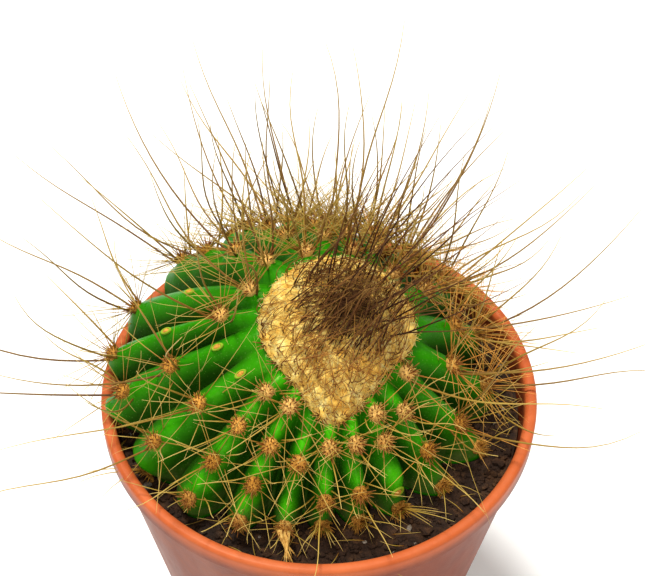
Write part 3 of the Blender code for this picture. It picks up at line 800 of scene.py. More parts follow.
class Areole:
    """A cushion on a rib: its place, its directions, its age, and its own draw of random numbers."""

    def __init__(self, rib, number, angle):
        self.name = (rib, number)
        self.place = skin_point(rib, angle)
        self.uphill = unit(skin_point(rib, angle - UPHILL_STEP) - self.place)
        _, normal = plain_point(rib, angle)
        self.outward = unit(normal - self.uphill * normal.dot(self.uphill))
        self.across = self.outward.cross(self.uphill)
        self.top = self.place + self.outward * tubercle_lift(rib, angle)
        self.heading = math.remainder(rib_heading(rib), 2 * math.pi)
        self.age = smooth_step(angle, math.radians(24.0), soil_angle(rib) - math.radians(3.0))
        self.is_bare = self.name in BARE_AREOLES

    def flat(self, turn):
        """Direction along the skin, turned from uphill."""
        return self.uphill * math.cos(turn) + self.across * math.sin(turn)

    def over(self, length, width, turn, out):
        """Point on an oval round the areole, given by its half length and half width, out from its foot."""
        along, sideways = length * math.cos(turn), width * math.sin(turn)
        return self.top + self.uphill * along + self.across * sideways + self.outward * out


AREOLES = [Areole(*place) for place in areole_places()]
BARE = [areole for areole in AREOLES if areole.is_bare]
SPINY = [areole for areole in AREOLES if not areole.is_bare]


class Bristles:
    """Many thin tapered bristles in one mesh, with how far along each point is and each bristle's tone."""

    def __init__(self, sides):
        self.sides = sides
        self.points = []
        self.faces = []
        self.along = []
        self.tone = []

    def add(self, path, radius, tone, tip_share=0.12):
        """Add a bristle along a path of points: it keeps its girth at first and then thins to its tip."""
        first = len(self.points)
        side = unit((path[-1] - path[0]).orthogonal())
        last = len(path) - 1
        for index, point in enumerate(path):
            aim = unit(path[min(index + 1, last)] - path[max(index - 1, 0)])
            side = unit(side - aim * side.dot(aim))
            other = aim.cross(side)
            share = index / last
            girth = radius * (1.0 - (1.0 - tip_share) * share ** 1.6)
            for number in range(self.sides):
                turn = 2 * math.pi * number / self.sides
                self.points.append(point + (side * math.cos(turn) + other * math.sin(turn)) * girth)
                self.along.append(share)
                self.tone.append(tone)
        for index in range(last):
            for number in range(self.sides):
                here = first + index * self.sides + number
                beside = first + index * self.sides + (number + 1) % self.sides
                self.faces.append((here, beside, beside + self.sides, here + self.sides))
        self.faces.append(tuple(range(first + self.sides - 1, first - 1, -1)))
        self.faces.append(tuple(range(first + last * self.sides, first + (last + 1) * self.sides)))

    def piece(self, name, material):
        mesh = bpy.data.meshes.new(name)
        mesh.from_pydata([tuple(point) for point in self.points], [], self.faces)
        mesh.materials.append(material)
        mesh.shade_smooth()
        piece = bpy.data.objects.new(name, mesh)
        bpy.context.scene.collection.objects.link(piece)
        paint(piece, "along", self.along)
        paint(piece, "tone", self.tone)
        return piece


def areole_felt():
    finish = Finish("areole felt", {"Roughness": 0.95, "Specular IOR Level": 0.1})
    fluff = finish.noise(1500.0, 6.0, 0.7)
    age = finish.sum(finish.attribute("tone"), finish.span(fluff, 0.3, 0.7, -0.12, 0.12))
    colour = finish.ramp(age, [
        (0.0, (0.90, 0.58, 0.18)),
        (0.25, (0.80, 0.42, 0.085)),
        (0.6, (0.62, 0.30, 0.045)),
        (1.0, (0.56, 0.29, 0.065)),
    ])
    colour = finish.blend(finish.span(fluff, 0.35, 0.55, 0.3, 0.0), colour, (0.36, 0.12, 0.02))
    return finish.coat(colour, [(fluff, 0.0003)])


def add_cushion(bm, areole, length, width, height):
    """A low uneven dome of felt, sunk a little into the flesh."""
    scale, fluff = CUSHION_FLUFF
    rows = []
    for ring in range(CUSHION_RINGS):
        share = 1.0 - ring / CUSHION_RINGS
        row = []
        for side in range(CUSHION_SIDES):
            out = height * math.sqrt(max(0.0, 1.0 - share * share)) - CUSHION_SINK * (ring == 0)
            point = areole.over(length * share, width * share, 2 * math.pi * side / CUSHION_SIDES, out)
            row.append(point + areole.outward * (fluff * noise.noise(point * scale)))
        rows.append(row)
    close_rows(bm, rows, areole.over(0.0, 0.0, 0.0, -CUSHION_UNDER), areole.over(0.0, 0.0, 0.0, height))


def felt_cushions(name, felt, cushions):
    """A piece of many cushions, given by areole, half length, half width, height and tone."""
    bm = bmesh.new()
    tones = []
    for areole, length, width, height, tone in cushions:
        add_cushion(bm, areole, length, width, height)
        tones += [tone] * (CUSHION_RINGS * CUSHION_SIDES + 2)
    piece = add_piece(name, bm, felt)
    paint(piece, "tone", tones)
    return piece


def drawn(draw, least, most):
    """A vector drawn between two others."""
    return Vector([draw.uniform(low, high) for low, high in zip(least, most)])


def make_felt_hairs(felt):
    """Short crisp hairs that stand out all over each cushion."""
    hairs = Bristles(3)
    for areole in SPINY:
        draw = random.Random(str(areole.name))
        for _ in range(FELT_HAIRS):
            turn = draw.uniform(0.0, 2 * math.pi)
            share = math.sqrt(draw.uniform(0.05, 1.1))
            out = AREOLE_HEIGHT * math.sqrt(max(0.0, 1.0 - min(1.0, share * share))) - FELT_HAIR_ROOT
            root = areole.over(AREOLE_LENGTH * share, AREOLE_WIDTH * share, turn, out)
            upright = areole.outward * draw.uniform(0.5, 1.3)
            aim = unit(upright + areole.flat(turn) * share * draw.uniform(0.5, 1.6))
            length = draw.uniform(*FELT_HAIR_LENGTH)
            droop = drawn(draw, (-0.5, -0.5, -0.6), (0.5, 0.5, 0.2))
            middle = root + aim * length * 0.5
            tip = middle + unit(aim + droop) * length * 0.5
            hairs.add([root, middle, tip], FELT_HAIR_RADIUS, areole.age, FELT_HAIR_TIP)
    return hairs.piece("areole_hairs", felt)


def scar_size(areole):
    """Half length and half width of a bare areole: the one that faces the front is as round as an eye."""
    if abs(areole.heading) < FRONT_SCARS:
        return SCAR_LENGTH * FRONT_SCAR_LENGTH, SCAR_WIDTH * FRONT_SCAR_WIDTH
    return SCAR_LENGTH, SCAR_WIDTH


def pale_skin():
    finish = Finish("pale raised skin", {"Roughness": 0.5, "Specular IOR Level": 0.08})
    colour = finish.blend(finish.noise(1200.0, 4.0), (0.08, 0.32, 0.006), (0.42, 0.46, 0.04))
    return finish.coat(colour, [(finish.noise(2500.0, 3.0), 0.00004)])


def make_scar_rims():
    """The raised lip of pale skin round each bare areole."""
    bm = bmesh.new()
    for areole in BARE:
        length, width = scar_size(areole)
        rows = []
        for step in range(SCAR_RIM_STEPS):
            row = []
            for side in range(SCAR_RIM_SIDES):
                bend = 2 * math.pi * side / SCAR_RIM_SIDES
                reach = 1.0 + SCAR_RIM_WIDTH * math.cos(bend)
                rise = SCAR_RIM_SINK + SCAR_RIM_RISE * math.sin(bend)
                turn = 2 * math.pi * step / SCAR_RIM_STEPS
                place = areole.over(length * SCAR_RIM[0] * reach, width * SCAR_RIM[1] * reach, turn, rise)
                row.append(bm.verts.new(place))
            rows.append(row)
        for here, beyond in zip(rows, rows[1:] + rows[:1]):
            for side in range(SCAR_RIM_SIDES):
                following = (side + 1) % SCAR_RIM_SIDES
                bm.faces.new((here[side], beyond[side], beyond[following], here[following]))
    return add_piece("scar_rims", bm, pale_skin())


felt = areole_felt()
spiny_cushions = [(areole, AREOLE_LENGTH, AREOLE_WIDTH, AREOLE_HEIGHT, areole.age) for areole in SPINY]
bare_cushions = [(areole, *scar_size(areole), SCAR_HEIGHT, SCAR_TONE) for areole in BARE]
for felt_piece in (
        felt_cushions("areole_cushions", felt, spiny_cushions),
        make_felt_hairs(felt),
        felt_cushions("bare_areoles", felt, bare_cushions)):
    place_piece(felt_piece, "cactus_body")
place_piece(make_scar_rims(), "cactus_body")


# The spines. Horny bristles that grow from the felt: a few long ones that stand out and curve, and a star of
# thin ones that spreads over the skin. They are brown at the root and golden towards the tip.
SPREADING_SPINES = 3
SPREADING_RISE = (20.0, 34.0)
SPREADING_LENGTH = (0.0095, 0.0165)
STANDING_RISE = (42.0, 74.0)
FRONT_LENGTHS = (0.021, 0.016, 0.013)
FLANK_LENGTHS = (0.044, 0.034, 0.026)
LENGTH_PLAY = (0.82, 1.12)
FRONT_HALF_WIDTH = math.radians(52.0)
GOLDEN_TURN = 0.382
FIRST_TURN = 0.5
TURN_PLAY = 0.06
LEAST_BEND = Vector((-0.28, -0.2, -0.1))
MOST_BEND = Vector((0.32, 0.25, 0.5))
AREOLE_RADIUS = 0.0009
SPINE_ROOT = 0.0016
SPINE_SPACING = 0.0011
CLEAR_OF_POT = 0.0009
CLEAR_INSIDE_RIM = 0.001
CROWN_ROOM = 0.0165
WOOL_CLEARANCE = 0.0032
WOOL_MARGIN = math.radians(1.5)
TEST_STEPS = 8
ATTEMPTS = 14
STEEPER = 4.0
STEEPEST = 86.0
SHORTER = 0.96
STANDING_RADIUS = 0.00024
STANDING_STEPS = 12
STANDING_SWAY = 0.045
STANDING_TIP = 0.24
SPREADING_RADIUS = 0.00013
SPREADING_TIP = 0.2
SHORT_STEPS = 6
REAR = (math.radians(40.0), math.radians(80.0))
FINE_SPINES = 7
FINE_SPINES_AT_REAR = 15
FINE_SPINES_AT_RIGHT = 18
FINE_REAR = (math.radians(55.0), math.radians(115.0))
FINE_RIGHT = (math.radians(100.0), math.radians(48.0))
FINE_OVER_RIM = (math.radians(52.0), math.radians(26.0))
FINE_OVAL = (0.0012, 0.001)
FINE_ROOT = 0.0002
FINE_RADIUS = 0.00009
FINE_ATTEMPTS = 6
FINE_STEEPER = 7.0
FINE_SHORTER = 0.93
DRY_SHARE = 0.85
STUB_RINGS = ((0.2, 4), (0.75, 11))
STUB_SPREAD = 0.6
STUB_ROOT = 0.0004
STUB_LENGTH = (0.0014, 0.0026)
STUB_RADIUS = 0.00014
STUB_TIP = 0.5
OLD_AREOLE_RISE = math.radians(2.5)
OLD_AREOLE_STEP = math.radians(5.0)
OLD_AREOLES_REACH = math.radians(75.0)
OLD_AREOLE_NUMBER = 9
OLD_CUSHION = (0.0014, 0.0016, 0.0006)
OLD_TONE = 0.8
OLD_HAIRS = 120
OLD_HAIR_ROOTS = (0.0003, 0.0017)
OLD_HAIR_LENGTH = (0.0006, 0.0019)
OLD_HAIR_RADIUS = 0.00007
OLD_SPINES = 11
OLD_SPINE_LENGTH = (0.007, 0.0165)
OLD_SPINE_RADIUS = 0.00014
OLD_SPINE_ROOT = 0.0004
FALLEN_SPINES = 260
FALLEN_FRONT = -0.012
FEWER_IN_FRONT = 0.7
FALLEN_LENGTH = (0.003, 0.008)
FALLEN_RADIUS = 0.0001
FALLEN_RISE = 0.0005


def spine_gap(start, end, others):
    """Shortest distance between one straight run and each of many, given as start and end rows."""
    first, last = numpy.array(start), numpy.array(end)
    run = last - first
    runs = others[:, 3:] - others[:, :3]
    offset = first - others[:, :3]
    run_length = run @ run
    run_lengths = numpy.einsum("ij,ij->i", runs, runs)
    both = runs @ run
    to_run = offset @ run
    to_runs = numpy.einsum("ij,ij->i", runs, offset)
    spread = numpy.maximum(run_length * run_lengths - both * both, 1e-20)
    along = numpy.clip((both * to_runs - to_run * run_lengths) / spread, 0.0, 1.0)
    along_others = numpy.clip((both * along + to_runs) / run_lengths, 0.0, 1.0)
    along = numpy.clip((both * along_others - to_run) / run_length, 0.0, 1.0)
    apart = offset + along[:, None] * run - along_others[:, None] * runs
    return numpy.sqrt((apart * apart).sum(axis=1)).min()


def spine_path(root, direction, length, bend):
    """Root, middle and tip of a spine that leaves in a direction and bends on its way."""
    middle = root + direction * (length * 0.5)
    tip = middle + unit(direction + bend) * (length * 0.5)
    return [root, middle, tip]


def in_crown(point):
    """Whether a point is in the wool, just over it, or in the room over the crown's middle."""
    offset = point - BODY_CENTRE
    along = offset.dot(CROWN_AXIS)
    outward = offset - CROWN_AXIS * along
    if outward.length < CROWN_ROOM:
        return True
    heading = math.atan2(outward.dot(CROWN_SIDE), outward.dot(CROWN_FRONT))
    across, along = outward.length / BODY_RADIUS, along / BODY_HALF_HEIGHT
    height = (math.hypot(across, along) - 1.0) * BODY_HALF_HEIGHT
    return math.atan2(across, along) < wool_reach(heading) + WOOL_MARGIN and height < WOOL_CLEARANCE


def is_free(path):
    """Whether a spine passes over the soil and the rim, and keeps out of the crown."""
    over_rim = RIM_RADIUS + CLEAR_OF_POT
    for start, end in zip(path, path[1:]):
        for step in range(1, TEST_STEPS + 1):
            point = start.lerp(end, step / TEST_STEPS)
            reach = math.hypot(point.x, point.y)
            near_rim = reach > inner_radius(SOIL_TOP) - CLEAR_INSIDE_RIM
            floor = POT_HEIGHT if near_rim else SOIL_TOP
            if reach < over_rim and point.z < floor + CLEAR_OF_POT:
                return False
            if in_crown(point):
                return False
    return True


class SpineBook:
    """The spines placed so far, so that a new one keeps clear of those of other areoles."""

    def __init__(self):
        self.runs = []
        self.owners = []

    def is_clear(self, path, owner):
        others = [run for run, name in zip(self.runs, self.owners) if name != owner]
        if not others:
            return True
        table = numpy.array(others)
        return all(spine_gap(start, end, table) > SPINE_SPACING for start, end in zip(path, path[1:]))

    def add(self, path, owner):
        for start, end in zip(path, path[1:]):
            self.runs.append((*start, *end))
            self.owners.append(owner)


class SpineDraw:
    """Draws the main spines of one areole."""

    def __init__(self, areole):
        self.areole = areole
        self.lengths = FRONT_LENGTHS if abs(areole.heading) < FRONT_HALF_WIDTH else FLANK_LENGTHS
        rib, number = areole.name
        self.draw = random.Random(1000 * rib + number)

    def root_and_aim(self, turn, rise):
        flat = self.areole.flat(turn)
        root = self.areole.place - self.areole.outward * SPINE_ROOT + flat * AREOLE_RADIUS
        steepness = math.radians(min(rise, STEEPEST))
        return root, unit(flat * math.cos(steepness) + self.areole.outward * math.sin(steepness))

    def standing_spine(self, index, turn, attempt):
        """A long bent spine. Later attempts are steeper and shorter."""
        root, aim = self.root_and_aim(turn, self.draw.uniform(*STANDING_RISE) + STEEPER * attempt)
        length = self.lengths[index] * self.draw.uniform(*LENGTH_PLAY) * SHORTER ** attempt
        return spine_path(root, aim, length, drawn(self.draw, LEAST_BEND, MOST_BEND))

    def spreading_spine(self, turn, attempt):
        """A short straight spine, close to the skin."""
        root, aim = self.root_and_aim(turn, self.draw.uniform(*SPREADING_RISE) + STEEPER * attempt)
        return [root, root + aim * (self.draw.uniform(*SPREADING_LENGTH) * SHORTER ** attempt)]

    def spines(self, book):
        """The spines that find room, which are written in the book."""
        for index in range(len(self.lengths) + SPREADING_SPINES):
            turn = 2 * math.pi * (FIRST_TURN + index * GOLDEN_TURN + self.draw.uniform(-TURN_PLAY, TURN_PLAY))
            for attempt in range(ATTEMPTS):
                if index < len(self.lengths):
                    path = self.standing_spine(index, turn, attempt)
                else:
                    path = self.spreading_spine(turn, attempt)
                if is_free(path) and book.is_clear(path, self.areole.name):
                    book.add(path, self.areole.name)
                    yield path
                    break


def curve(root, knee, tip, steps):
    """Points of a curve that leaves its root towards the knee and ends at its tip."""
    for step in range(steps + 1):
        share = step / steps
        yield root * (1 - share) ** 2 + knee * (2 * share * (1 - share)) + tip * share ** 2


def smooth_path(path, steps, draw, sway=0.03, straighter=0.0):
    """A smooth line through a spine's root, middle and tip, which sways a little."""
    if len(path) == 2:
        path = [path[0], path[0].lerp(path[1], 0.5), path[1]]
    root, middle, tip = path
    middle = middle.lerp((root + tip) * 0.5, straighter)
    knee = middle * 2.0 - (root + tip) * 0.5
    length = (tip - root).length
    aside = unit((tip - root).orthogonal())
    aside = Matrix.Rotation(draw.uniform(0.0, 2 * math.pi), 3, tip - root) @ aside
    amount = draw.uniform(-sway, sway) * length
    points = []
    for step, point in enumerate(curve(root, knee, tip, steps)):
        share = step / steps
        points.append(point + aside * (amount * math.sin(2 * math.pi * share) * share))
    return points


def arched_path(root, normal, tip, rise, steps):
    """A line that leaves its root upright and arches over to its tip."""
    return list(curve(root, root + normal * rise, tip, steps))


def add_fine_spines(areole, bristles, tangle):
    """The star of thin spines round a cushion. On the right many are dry and tangled at the pot's wall."""
    draw = random.Random(f"fine {areole.name}")
    rear = smooth_step(abs(areole.heading), *FINE_REAR)
    right = bell(areole.heading, *FINE_RIGHT)
    shortest = 0.006 + 0.003 * rear
    longest = 0.0125 + 0.009 * rear + 0.013 * bell(abs(areole.heading), *FINE_OVER_RIM)
    count = FINE_SPINES + round(FINE_SPINES_AT_REAR * rear + FINE_SPINES_AT_RIGHT * right * areole.age)
    for index in range(count):
        turn = 2 * math.pi * (index / count + draw.uniform(-0.02, 0.02))
        root = areole.over(*FINE_OVAL, turn, FINE_ROOT)
        for attempt in range(FINE_ATTEMPTS):
            rise = math.radians(draw.uniform(8.0, 30.0 + 22.0 * rear) + FINE_STEEPER * attempt)
            length = draw.uniform(shortest, longest) * FINE_SHORTER ** attempt
            aim = unit(areole.flat(turn) * math.cos(rise) + areole.outward * math.sin(rise))
            path = spine_path(root, aim, length, drawn(draw, (-0.12, -0.12, -0.05), (0.12, 0.12, 0.12)))
            if is_free(path):
                chosen = tangle if draw.random() < DRY_SHARE * right else bristles
                line = smooth_path(path, SHORT_STEPS, draw)
                chosen.add(line, FINE_RADIUS * draw.uniform(0.8, 1.3), 0.35 * draw.random())
                break


def add_stubs(areole, bristles):
    """The thick reddish roots of the spines, which part the felt like the rays of a sun."""
    draw = random.Random(f"stubs {areole.name}")
    for ring, count in STUB_RINGS:
        for index in range(count):
            turn = 2 * math.pi * (index + draw.uniform(-0.25, 0.25)) / count
            spread = ring * STUB_SPREAD
            out = AREOLE_HEIGHT * math.sqrt(1.0 - spread ** 2) - STUB_ROOT
            root = areole.over(AREOLE_LENGTH * spread, AREOLE_WIDTH * spread, turn, out)
            upright = areole.outward * draw.uniform(0.6, 1.0)
            aim = unit(upright + areole.flat(turn) * ring * draw.uniform(1.0, 1.5))
            tip = root + aim * draw.uniform(*STUB_LENGTH)
            tone = 0.6 * areole.age + 0.3 * draw.random()
            bristles.add([root, root.lerp(tip, 0.5), tip], STUB_RADIUS, tone, STUB_TIP)


def make_spines():
    bristles, fine, tangle, stubs = Bristles(5), Bristles(4), Bristles(4), Bristles(5)
    book = SpineBook()
    for areole in SPINY:
        draw = random.Random(f"sway {areole.name}")
        rear = smooth_step(abs(areole.heading), *REAR)
        for path in SpineDraw(areole).spines(book):
            if len(path) == 3:
                tone = min(1.0, 0.15 + 0.75 * rear * draw.uniform(0.3, 1.2))
                line = smooth_path(path, STANDING_STEPS, draw, STANDING_SWAY, 0.5 * (1.0 - rear))
                bristles.add(line, STANDING_RADIUS * (0.72 + 0.28 * rear), tone, STANDING_TIP)
            else:
                line = smooth_path(path, SHORT_STEPS, draw)
                bristles.add(line, SPREADING_RADIUS, 0.3 * draw.random(), SPREADING_TIP)
        add_fine_spines(areole, fine, tangle)
        add_stubs(areole, stubs)
    return bristles, fine, tangle, stubs, book


def horn(name, roughness, gloss, pale, dark=None, patches=None, grain=0.00002):
    """Horn that changes colour along each spine, between a pale and a dark kind by the spine's tone."""
    finish = Finish(name, {"Roughness": roughness, "Specular IOR Level": gloss})
    along = finish.attribute("along")
    colour = finish.ramp(along, pale)
    if dark:
        colour = finish.blend(finish.attribute("tone"), colour, finish.ramp(along, dark))
    if patches:
        scale, strength, shade = patches
        colour = finish.blend(finish.span(finish.noise(scale, 3.0), 0.4, 0.7, 0.0, strength), colour, shade)
    return finish.coat(colour, [(finish.noise(3000.0, 3.0), grain)])


def golden_horn():
    golden = [(0.0, (0.20, 0.065, 0.012)), (0.12, (0.34, 0.17, 0.02)),
              (0.4, (0.45, 0.32, 0.045)), (1.0, (0.78, 0.59, 0.19))]
    brown = [(0.0, (0.060, 0.020, 0.006)), (0.3, (0.115, 0.052, 0.010)),
             (0.7, (0.24, 0.14, 0.026)), (1.0, (0.46, 0.33, 0.09))]
    return horn("golden spines", 0.5, 0.25, golden, brown, (700.0, 0.3, (0.3, 0.13, 0.03)))


def dry_orange_horn():
    orange = [(0.0, (0.36, 0.12, 0.018)), (0.3, (0.60, 0.26, 0.040)), (1.0, (0.86, 0.50, 0.13))]
    return horn("dry orange spines", 0.6, 0.15, orange, None, (600.0, 0.5, (0.34, 0.14, 0.03)))


def reddish_horn():
    young = [(0.0, (0.13, 0.035, 0.008)), (0.6, (0.20, 0.06, 0.011)), (1.0, (0.44, 0.20, 0.035))]
    old = [(0.0, (0.22, 0.085, 0.018)), (1.0, (0.22, 0.085, 0.018))]
    return horn("reddish spine roots", 0.55, 0.2, young, old, None, 0.00003)


def old_areoles():
    """The lowest areoles of the front ribs, half sunk in the soil."""
    lowest_angles = {rib: angle for rib, _, angle in areole_places()}
    for rib, lowest in lowest_angles.items():
        angle = soil_angle(rib) - OLD_AREOLE_RISE
        heading = math.remainder(rib_heading(rib), 2 * math.pi)
        if abs(heading) < OLD_AREOLES_REACH and angle - lowest > OLD_AREOLE_STEP:
            yield Areole(rib, OLD_AREOLE_NUMBER, angle)


def add_old_spines(areole, hairs, dry):
    """Ragged felt round an old areole, and a few dry spines that hang out over the soil."""
    draw = random.Random(f"old {areole.name}")
    foot = areole.outward * OLD_SPINE_ROOT
    for _ in range(OLD_HAIRS):
        flat = areole.flat(draw.uniform(0.0, 2 * math.pi))
        root = areole.top + flat * draw.uniform(*OLD_HAIR_ROOTS) + foot
        tip = root + unit(areole.outward + flat * draw.uniform(0.3, 1.5)) * draw.uniform(*OLD_HAIR_LENGTH)
        middle = root.lerp(tip, 0.5) + flat * 0.0001
        hairs.add([root, middle, tip], OLD_HAIR_RADIUS, draw.uniform(0.3, 1.0), FELT_HAIR_TIP)
    away = level_outward(areole.outward)
    for _ in range(OLD_SPINES):
        level = away + areole.across * draw.uniform(-1.1, 1.1)
        aim = unit(level + Vector((0.0, 0.0, draw.uniform(0.1, 0.9))))
        sag = Vector((0.0, 0.0, draw.uniform(-0.7, -0.1)))
        path = spine_path(areole.top + foot, aim, draw.uniform(*OLD_SPINE_LENGTH), sag)
        if is_free(path[1:]):
            dry.add(smooth_path(path, SHORT_STEPS, draw), OLD_SPINE_RADIUS, 0.45 * draw.random())


def add_fallen_spines(dry):
    """Broken dry spines that lie about on the soil, fewer at the front."""
    for point, draw in soil_spots(FALLEN_SPINES, 21):
        if point.y < FALLEN_FRONT and draw.random() < FEWER_IN_FRONT:
            continue
        turn = draw.uniform(0.0, 2 * math.pi)
        aim = unit(Vector((math.cos(turn), math.sin(turn), draw.uniform(-0.05, 0.4))))
        bend = drawn(draw, (-0.3, -0.3), (0.3, 0.3)).to_3d()
        path = spine_path(point + Vector((0.0, 0.0, FALLEN_RISE)), aim, draw.uniform(*FALLEN_LENGTH), bend)
        dry.add(smooth_path(path, SHORT_STEPS, draw), FALLEN_RADIUS, draw.uniform(0.0, 0.6))


spines, fine_spines, tangled_spines, spine_stubs, spine_book = make_spines()
old_felt, dry_spines = Bristles(3), Bristles(4)
OLD_AREOLES = list(old_areoles())
for old_areole in OLD_AREOLES:
    add_old_spines(old_areole, old_felt, dry_spines)
add_fallen_spines(dry_spines)
for felt_piece in (
        felt_cushions("old_areoles", felt, [(areole, *OLD_CUSHION, OLD_TONE) for areole in OLD_AREOLES]),
        old_felt.piece("old_felt_hairs", felt)):
    place_piece(felt_piece, "cactus_body")
golden = golden_horn()
for spine_piece in (
        spines.piece("spines", golden),
        fine_spines.piece("fine_spines", golden),
        tangled_spines.piece("tangled_spines", dry_orange_horn()),
        dry_spines.piece("dry_spines", golden),
        spine_stubs.piece("spine_roots", reddish_horn())):
    place_piece(spine_piece, "cactus_body")


# The dried flower. The withered petals of one old flower hang from a low areole at the front as a flat,
# golden, papery wisp, with their tips on the soil.
WITHERED_FLOWER = (20, 1)
PETALS = 15
PETAL_RADII = (0.00024, 0.00038)
PETAL_ARCH = (0.001, 0.002)
PETAL_STEPS = 7
FLOWER_HANG = (0.0012, -0.0062)
FLOWER_OVER_SOIL = 0.0016


def dried_petals():
    finish = Finish("dried petals", {"Roughness": 0.6, "Specular IOR Level": 0.3})
    streaks = finish.noise(1400.0, 4.0, 0.6)
    colour = finish.ramp(streaks, [
        (0.3, (0.30, 0.13, 0.03)), (0.5, (0.62, 0.36, 0.08)), (0.7, (0.82, 0.58, 0.18))])
    return finish.coat(colour, [(streaks, 0.0002)])


def make_dried_flower():
    draw = random.Random(4)
    petals = Bristles(5)
    areole = next(item for item in AREOLES if item.name == WITHERED_FLOWER)
    right, back = FLOWER_HANG
    end = Vector((areole.top.x + right, areole.top.y + back, SOIL_TOP + FLOWER_OVER_SOIL))
    for _ in range(PETALS):
        spread = draw.uniform(-1.0, 1.0)
        root = areole.top + areole.outward * 0.0006 + areole.across * (0.0012 * spread)
        tip = end + Vector((0.0009 * spread + draw.uniform(-0.0006, 0.0006), draw.uniform(-0.0012, 0.0022),
                            draw.uniform(0.0, 0.0006)))
        path = arched_path(root, areole.outward, tip, draw.uniform(*PETAL_ARCH), PETAL_STEPS)
        petals.add(path, draw.uniform(*PETAL_RADII), 0.0, 0.25)
    return petals.piece("dried_flower", dried_petals())


place_piece(make_dried_flower(), "cactus_body")


# The crown's wool. The youngest areoles crowd at the growing point, and their cream felt runs together into
# one fluffy cushion with a tail at the front.
WOOL_GAP = 0.0004
WOOL_RISE = 0.0016
WOOL_FULLNESS = 3
WOOL_EDGE_HEIGHT = 0.0003
WOOL_COLUMNS_PER_RIB = 9
WOOL_ROWS = 44
WOOL_UNDER_ROWS = 6
TUFT_RINGS = (0.34, 0.56, 0.76, 0.93)
TUFT_REACH = 0.0024
TUFT_RISE = 0.0013
TUFT_SINK = 0.45
STAGGERED_FROM = 0.5
FLUFF = (700.0, 0.00045)
EDGE_STEEPNESS = 12.0
WOOL_TONE = 0.4
WOOL_FIBRES = 2400
FIBRE_LENGTH = (0.0018, 0.0042)
FIBRE_RADII = (0.00006, 0.0001)
FIBRE_STEPS = 5
FIBRE_CURL = 0.45
FIBRE_TIP = 0.4
FIBRE_SINK = 0.0001
FIBRE_STEP = 0.05
FIBRE_PULL = 0.12


def wool_point(rib, share, lift):
    """Point of the wool cushion: share runs from its middle to its edge."""
    crest, normal = plain_point(rib, wool_edge(rib) * share)
    return crest + normal * lift, normal


def young_areoles():
    """Middles of the young areoles' tufts, in rings that are staggered like the ribs."""
    middles = []
    for ring, share in enumerate(TUFT_RINGS):
        for rib in range(RIBS):
            if share > STAGGERED_FROM or rib % 2 == ring % 2:
                middles.append(wool_point(rib + 0.5 * (ring % 2), share, 0.0)[0])
    return numpy.array(middles)


YOUNG_AREOLES = young_areoles()


def wool_lift(rib, share):
    """Height of the wool over the plain ellipsoid, with a tuft over each young areole."""
    point, _ = wool_point(rib, share, 0.0)
    apart = numpy.linalg.norm(YOUNG_AREOLES - numpy.array(point), axis=1).min()
    tuft = math.sqrt(max(0.0, 1.0 - (apart / TUFT_REACH) ** 2)) - TUFT_SINK
    scale, fluff = FLUFF
    edge = min(1.0, (1.0 - share) * EDGE_STEEPNESS)
    plain = WOOL_EDGE_HEIGHT + WOOL_RISE * (1.0 - share ** WOOL_FULLNESS)
    return plain + edge * (TUFT_RISE * tuft + fluff * noise.fractal(point * scale, 0.8, 2.2, 4))


def cream_wool():
    finish = Finish("cream wool", {"Roughness": 0.95, "Specular IOR Level": 0.1})
    tufts = finish.noise(330.0, 5.0, 0.65)
    strands = finish.noise(1700.0, 6.0, 0.75)
    locks = finish.span(finish.attribute("tone"), 0.0, 1.0, -0.16, 0.16)
    shade = finish.sum(finish.sum(tufts, finish.span(strands, 0.3, 0.7, -0.12, 0.12)), locks)
    colour = finish.ramp(shade, [
        (0.22, (0.76, 0.36, 0.045)),
        (0.36, (0.97, 0.58, 0.105)),
        (0.52, (0.99, 0.74, 0.20)),
        (0.7, (0.99, 0.87, 0.39)),
    ])
    return finish.coat(colour, [(strands, 0.0005)])


def make_wool_cushion(wool):
    columns = rib_columns(WOOL_COLUMNS_PER_RIB)
    rows = []
    for step in range(1, WOOL_ROWS):
        share = step / WOOL_ROWS
        rows.append([wool_point(rib, share, wool_lift(rib, share))[0] for rib in columns])
    for step in range(WOOL_UNDER_ROWS):
        share = (WOOL_ROWS - 1) / WOOL_ROWS * (1.0 - step / WOOL_UNDER_ROWS)
        under = WOOL_GAP - DISH_DEPTH * (1.0 - share ** DISH_ROUNDNESS)
        rows.append([wool_point(rib, share, under)[0] for rib in columns])
    bm = bmesh.new()
    top, bottom = (wool_point(0, 0.0, lift)[0] for lift in (wool_lift(0, 0.0), WOOL_GAP - DISH_DEPTH))
    close_rows(bm, rows, top, bottom)
    cushion = add_piece("wool_cushion", bm, wool)
    paint(cushion, "tone", [WOOL_TONE] * len(cushion.data.vertices))
    return cushion


def curly_path(draw, root, normal, flow, length):
    """A lock of wool that leaves its root along a flow and curls over the surface."""
    across = normal.cross(flow)
    aim = unit(flow + normal * draw.uniform(0.05, 0.3) + across * draw.gauss(0.0, 0.7))
    turn_axis = unit(normal + drawn(draw, [-0.4] * 3, [0.4] * 3))
    bend = Matrix.Rotation(draw.uniform(-FIBRE_CURL, FIBRE_CURL), 3, turn_axis)
    points = [root]
    for _ in range(FIBRE_STEPS):
        points.append(points[-1] + aim * (length / FIBRE_STEPS))
        aim = unit(bend @ aim - normal * FIBRE_PULL)
    return points


